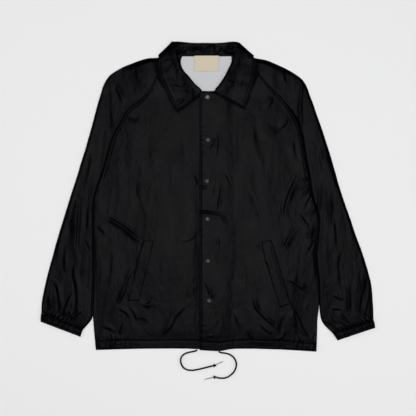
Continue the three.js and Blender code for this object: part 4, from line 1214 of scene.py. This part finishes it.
thread = {"pitch": 3.6, "length": 3.1, "radius": 0.3, "sides": 6}
capsule = {
    "along": np.array([-0.5, -0.44, -0.25, 0.25, 0.44, 0.5]),  # shares of the length
    "girth": np.array([0.15, 0.75, 1, 1, 0.75, 0.15]),  # shares of the radius
    "lift": np.array([-0.35, 0.02, 0.14, 0.14, 0.02, -0.35]),
}


def stitchRun(line, pitch=thread["pitch"], length=thread["length"]):
    # both ends of each stitch on a line of points, by its length
    line = np.asarray(line, float)
    steps = np.linalg.norm(np.diff(line, axis=0), axis=1)
    far = np.concatenate([[0], np.cumsum(steps)])
    starts = np.arange(0.4, far[-1] - length, pitch)
    placeAt = lambda at: np.stack([np.interp(at, far, line[:, k]) for k in range(3)], 1)
    return np.stack([placeAt(starts), placeAt(starts + length)], 1)


def addStitches(name, runs, material):
    # a capsule for each stitch: circles of the girth at shares of its length, raised by the lift
    ends = np.concatenate(runs)
    middle, reach = ends.mean(1), ends[:, 1] - ends[:, 0]
    length = np.linalg.norm(reach, axis=1, keepdims=True)
    heading = reach / length
    aside = unit(np.cross(heading, (0, 0, 1)))
    upright = np.cross(aside, heading)
    sides, rings = thread["sides"], len(capsule["along"])
    centre = middle[:, None] + heading[:, None] * (length[:, None] * capsule["along"][None, :, None])
    centre = centre + upright[:, None] * capsule["lift"][None, :, None]
    rim = ringsAround(aside, upright, sides)
    girth = thread["radius"] * capsule["girth"]
    points = centre[:, :, None] + girth[None, :, None, None] * rim[:, None]
    count = len(ends)
    quads = gridQuads(rings, sides)
    first = (np.arange(count) * rings * sides)[:, None]
    allQuads = (first[:, :, None] + quads[None]).reshape(-1, 4).tolist()
    startCaps = (first + np.arange(sides)[::-1][None]).tolist()
    endCaps = (first + (rings - 1) * sides + np.arange(sides)[None]).tolist()
    return addMesh(name, points.reshape(-1, 3), allQuads + startCaps + endCaps, material)


def onCloth(grid, line):
    # a line in the plane with heights of the cloth below it
    line = evenly(line, 260)
    return np.column_stack([line, heightOn(grid, line[:, 0], line[:, 1])])


def betweenColumns(grid, share, at):
    # for each row the point at its own share of the columns
    place = np.clip(np.searchsorted(share, at) - 1, 0, len(share) - 2)
    part = ((at - share[place]) / (share[place + 1] - share[place]))[:, None]
    row = np.arange(len(grid))
    return (1 - part) * grid[row, place] + part * grid[row, place + 1]


def frontRuns(grid, plan, frontEdge):
    # two rows beside the raglan seam and one along the hem's casing
    upper = rowShares > 0.5
    columns = [np.argmin(np.abs(columnShares - (1 - far / panel["half"]))) for far in panel["stitches"]]
    runs = [stitchRun(grid[upper, column]) for column in columns]
    hem = evenly(plan[0] + (0, cloth["hemDepth"]), 400)
    shown = hem[hem[:, 0] > frontEdge] if frontEdge < 0 else hem[hem[:, 0] < cloth["leftFrontEdge"]]
    return runs + [stitchRun(onCloth(grid, shown))]


def leafRuns(grid):
    # one row inside the leaf's edge on each side and one across each end
    share = leafShares
    length = np.linalg.norm(grid[:, -1, :2] - grid[:, 0, :2], axis=1)
    edge = betweenColumns(grid, share, 1 - leaf["stitches"] / np.maximum(length, 12))
    tops = np.flatnonzero(edge[:, 2] > 4)
    halves = np.split(tops, np.flatnonzero(np.diff(tops) > 1) + 1)
    runs = [stitchRun(edge[half]) for half in halves if len(half) > 8]
    far = np.concatenate([[0], np.cumsum(np.linalg.norm(np.diff(grid[:, -1, :2], axis=0), axis=1))])
    inside = share < 1 - leaf["stitches"] / length.mean()
    for at in (leaf["stitches"], far[-1] - leaf["stitches"]):
        runs.append(stitchRun(grid[np.argmin(np.abs(far - at)), inside]))
    return runs


def weltRuns(grid):
    # the inner edge and both ends
    inner = np.argmin(np.abs(stripAcross - strip["stitches"] / strip["width"]))
    runs = [stitchRun(grid[2:-2, inner])]
    for at in (strip["stitches"], strip["length"] - strip["stitches"]):
        runs.append(stitchRun(grid[np.argmin(np.abs(stripDown - at / strip["length"])), inner:-2]))
    return runs


def cuffRuns(grid):
    # rows round the upper side
    rows = np.linspace(0, 1, len(grid))
    lines = [grid[np.argmin(np.abs(rows - at)), 6:224] for at in cuff["stitches"]]
    return [stitchRun(line, 3.0, 2.4) for line in lines]


placketLine = onCloth(frontLeftGrid, [(placket["stitches"], -396), (placket["stitches"], 262)])
blackRuns = frontRuns(frontRightGrid, planRight, 1) + frontRuns(frontLeftGrid, planLeft, edgeLeft)
blackRuns += [stitchRun(placketLine)]
blackRuns += leafRuns(collarGrid) + weltRuns(weltRightGrid) + weltRuns(weltLeftGrid)
blackRuns += cuffRuns(cuffRightGrid) + cuffRuns(cuffLeftGrid)
stitches = addStitches("stitches", blackRuns, blackThread)

labelRim = [labelGrid[4:-4, 4], labelGrid[4:-4, -5], labelGrid[4, 4:-4], labelGrid[-5, 4:-4]]
labelStitches = addStitches("labelStitches", [stitchRun(rim, 2.4, 1.9) for rim in labelRim], creamThread)
print("stitches made:", sum(len(run) for run in blackRuns))

# snaps: enamelled caps turned from a profile of radius and height


def makeHard(name, colour, roughness, grain, detail, strength, distance, specular=0.5):
    # a smooth hard finish with fine grain
    material, tree, shader = newMaterial(name, colour, roughness)
    shader.inputs["Specular IOR Level"].default_value = specular
    addBump(tree, shader, addNoise(tree, grain, (1, 1, 1), detail), strength, distance)
    return material


# the lower caps are duller than the first one
enamel = makeHard("snapEnamel", (0.006, 0.006, 0.0065), 0.22, 400, 2, 0.05, 0.0002, 0.32)
wornEnamel = makeHard("wornEnamel", (0.006, 0.006, 0.0065), 0.3, 300, 3, 0.12, 0.0003, 0.17)

snapProfile = np.array([
    (0, 1.9), (1.1, 1.86), (2.0, 1.8), (2.7, 1.84), (3.2, 2.1), (3.6, 2.42), (4.1, 2.58), (4.7, 2.6),
    (5.4, 2.5), (6.1, 2.2), (6.7, 1.7), (7.1, 1.1), (7.25, 0.6), (7.2, 0.2), (7.0, 0.02), (6.0, 0), (0, 0),
])


def turned(name, profile, x, y, z, material, count=72):
    # profile turned once round the upright axis through x, y
    angle = 2 * np.pi * np.arange(count) / count
    ring = profile[1:-1]
    points = np.stack([
        x + ring[:, 0:1] * np.cos(angle), y + ring[:, 0:1] * np.sin(angle), z + ring[:, 1:2] + 0 * angle,
    ], axis=2).reshape(-1, 3)
    points = np.vstack([points, (x, y, z + profile[0, 1]), (x, y, z + profile[-1, 1])])
    quads = turnedRound(gridQuads(len(ring), count)).tolist()
    k = np.arange(count)
    top, low = len(points) - 2, len(points) - 1
    final = (len(ring) - 1) * count
    fans = np.stack([k * 0 + top, k, (k + 1) % count], 1).tolist()
    fans += np.stack([k * 0 + low, final + (k + 1) % count, final + k], 1).tolist()
    return addMesh(name, points, quads + fans, material)


for number, (x, y) in enumerate(snapPlaces, start=1):
    around = np.array([(0, 0)] + [(6 * np.cos(a), 6 * np.sin(a)) for a in np.arange(8) * np.pi / 4])
    seat = heightOn(frontLeftGrid, x + around[:, 0], y + around[:, 1]).max()
    cap = turned(f"snapCap{number}", snapProfile, x, y, seat - 0.1, enamel if number == 1 else wornEnamel)
    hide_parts(f"snap_{number}")
print("snaps made")

# drawcord: two free ends on the floor, each with a knot and a tip
cord = {"diameter": 4.4, "lift": 2.3}
cordRightRoute = [
    (-27.4, -397.9), (-29.2, -400.4), (-35, -402.2), (-43, -403.2), (-53.6, -405.6), (-64, -410.6),
    (-69.2, -418.1), (-71, -427.2), (-67.9, -437.6), (-61.4, -446.7), (-51, -450.6), (-40.6, -451.9),
    (-25, -449.3), (-4.2, -444.1), (13.4, -439.3),
]
cordLeftRoute = [
    (29.1, -402.2), (31.7, -404.8), (38, -406.1), (46, -406.6), (55.6, -408.8), (66, -414.7), (72.5, -424.6),
    (75.4, -435), (73.8, -445.4), (68.6, -455.8), (60.8, -463.6), (50.4, -470.1), (40, -472.2),
    (31.2, -471.5), (23.2, -469.9),
]


def cordCurve(name, route):
    # a round tube along the route; its length is that of the smooth curve through the points
    shape = bpy.data.curves.new(name, "CURVE")
    shape.dimensions = "3D"
    spline = shape.splines.new("NURBS")
    route = np.array(route)
    points = np.column_stack([route, np.full(len(route), cord["lift"]), np.full(len(route), 1 / mm)]) * mm
    spline.points.add(len(points) - 1)
    spline.points.foreach_set("co", points.astype(np.float32).ravel())
    spline.use_endpoint_u = True
    spline.order_u = 4
    spline.resolution_u = 8
    shape.bevel_depth = cord["diameter"] / 2 * mm
    shape.bevel_resolution = 6
    shape.use_fill_caps = True
    shape.materials.append(blackCord)
    piece = bpy.data.objects.new(name, shape)
    scene.collection.objects.link(piece)
    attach(piece, "root")
    steps = through(route, np.linspace(0, 1, 400))
    return piece, float(np.linalg.norm(np.diff(steps, axis=0), axis=1).sum()) * mm


cordRight, cordRightLength = cordCurve("cordRight", cordRightRoute)
cordLeft, cordLeftLength = cordCurve("cordLeft", cordLeftRoute)
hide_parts("drawcord_right")
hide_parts("drawcord_left")


knotShape = {"length": 2.3, "width": 1.8, "rise": 1.5, "centre": 3.7, "strand": 1.9}


def knot(name, centre, heading, node):
    # overhand knot pulled tight: a tube round a trefoil line, pressed onto the floor
    t = 2 * np.pi * np.arange(96) / 96
    along = knotShape["length"] * np.sin(t) + 0.3 * np.sin(2 * t)
    sideways = knotShape["width"] * np.cos(2 * t) + 0.6 * np.cos(t)
    upward = knotShape["centre"] + knotShape["rise"] * np.sin(3 * t)
    cosine, sine = np.cos(heading), np.sin(heading)
    x = centre[0] + cosine * along - sine * sideways
    y = centre[1] + sine * along + cosine * sideways
    middle = np.stack([x, y, upward], 1)
    tangent = unit(np.roll(middle, -1, 0) - np.roll(middle, 1, 0))
    aside = unit(np.cross(tangent, (0.3, 0.2, 1.0)))
    upright = np.cross(aside, tangent)
    points = middle[:, None] + knotShape["strand"] * ringsAround(aside, upright, 14)
    points[..., 2] = np.maximum(points[..., 2], 0.05)
    faces = turnedRound(gridQuads(*points.shape[:2], closedRows=True))
    piece = addMesh(name, points.reshape(-1, 3), faces[:, ::-1], blackCord)
    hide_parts(node)
    return piece


knotRight = knot("knotRight", (17.9, -438.6), 0.35, "knot_right")
knotLeft = knot("knotLeft", (18.7, -468.8), 2.9, "knot_left")

tipShade = makeHard("tipShade", (0.16, 0.16, 0.165), 0.45, 900, 2, 0.2, 0.0002)


def cordTip(name, start, end, node):
    # thin shrunk end: round, a little thicker in the middle, blunt at its free end
    start, end = np.array([*start, 1.3]), np.array([*end, 1.2])
    length = np.linalg.norm(end - start)
    s = np.array([0, 0.02, 0.06, 0.2, 0.4, 0.6, 0.8, 0.93, 0.975, 0.995, 1])
    radius = np.array([0.75, 0.95, 1.08, 1.12, 1.1, 1.12, 1.08, 1.1, 0.98, 0.7, 0.2])
    heading = (end - start) / length
    aside = np.cross(heading, (0, 0, 1))
    ring = ringsAround(aside[None], np.cross(aside, heading)[None], 24)
    points = (start + s[:, None] * (end - start))[:, None] + radius[:, None, None] * ring
    rows, columns = points.shape[:2]
    quads = gridQuads(rows, columns).tolist()
    caps = [list(range(columns))[::-1], [(rows - 1) * columns + k for k in range(columns)]]
    piece = addMesh(name, points.reshape(-1, 3), quads + caps, tipShade)
    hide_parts(node)
    return piece


tipRight = cordTip("tipRight", (21.5, -436.9), (40, -428.2), "cord_tip_right")
tipLeft = cordTip("tipLeft", (14.8, -469.7), (-8.1, -475), "cord_tip_left")
print("drawcord made")

# floor and lights

def makeFloor():
    # one large square of pale paper
    side, z = studio["floorHalf"], studio["floorHeight"]
    corners = np.array([(-side, -side, z), (side, -side, z), (side, side, z), (-side, side, z)])
    material, tree, shader = newMaterial("paperFloor", studio["floorColour"], 0.75)
    addBump(tree, shader, addNoise(tree, 60, (1, 1, 1), 3), 0.05, 0.001)
    mesh = bpy.data.meshes.new("floor")
    mesh.from_pydata((corners * mm).tolist(), [], [(0, 1, 2, 3)])
    mesh.materials.append(material)
    floor = bpy.data.objects.new("floor", mesh)
    scene.collection.objects.link(floor)


def softbox(name, place, size, power):
    # area light that faces the jacket's middle
    lamp = bpy.data.lights.new(name, "AREA")
    lamp.shape = "RECTANGLE"
    lamp.size, lamp.size_y = size
    lamp.energy = power
    holder = bpy.data.objects.new(name, lamp)
    scene.collection.objects.link(holder)
    holder.location = place
    holder.rotation_euler = (-Vector(place)).to_track_quat("-Z", "Y").to_euler()


makeFloor()
# name, place, size in metres and power in watts
lights = [
    ("boxAbove", (0.02, 0.0, 4.6), (1.7, 1.8), 146),
    ("boxLeft", (-3.6, 0.8, 2.2), (1.6, 2.6), 33),
    ("boxRight", (3.6, -0.6, 2.2), (1.6, 2.6), 40),
]
for light in lights:
    softbox(*light)
world = bpy.data.worlds.new("studio")
world.use_nodes = True
world.node_tree.nodes["Background"].inputs["Color"].default_value = (1, 1, 1, 1)
world.node_tree.nodes["Background"].inputs["Strength"].default_value = studio["worldLight"]
scene.world = world
scene.view_settings.view_transform = "Standard"
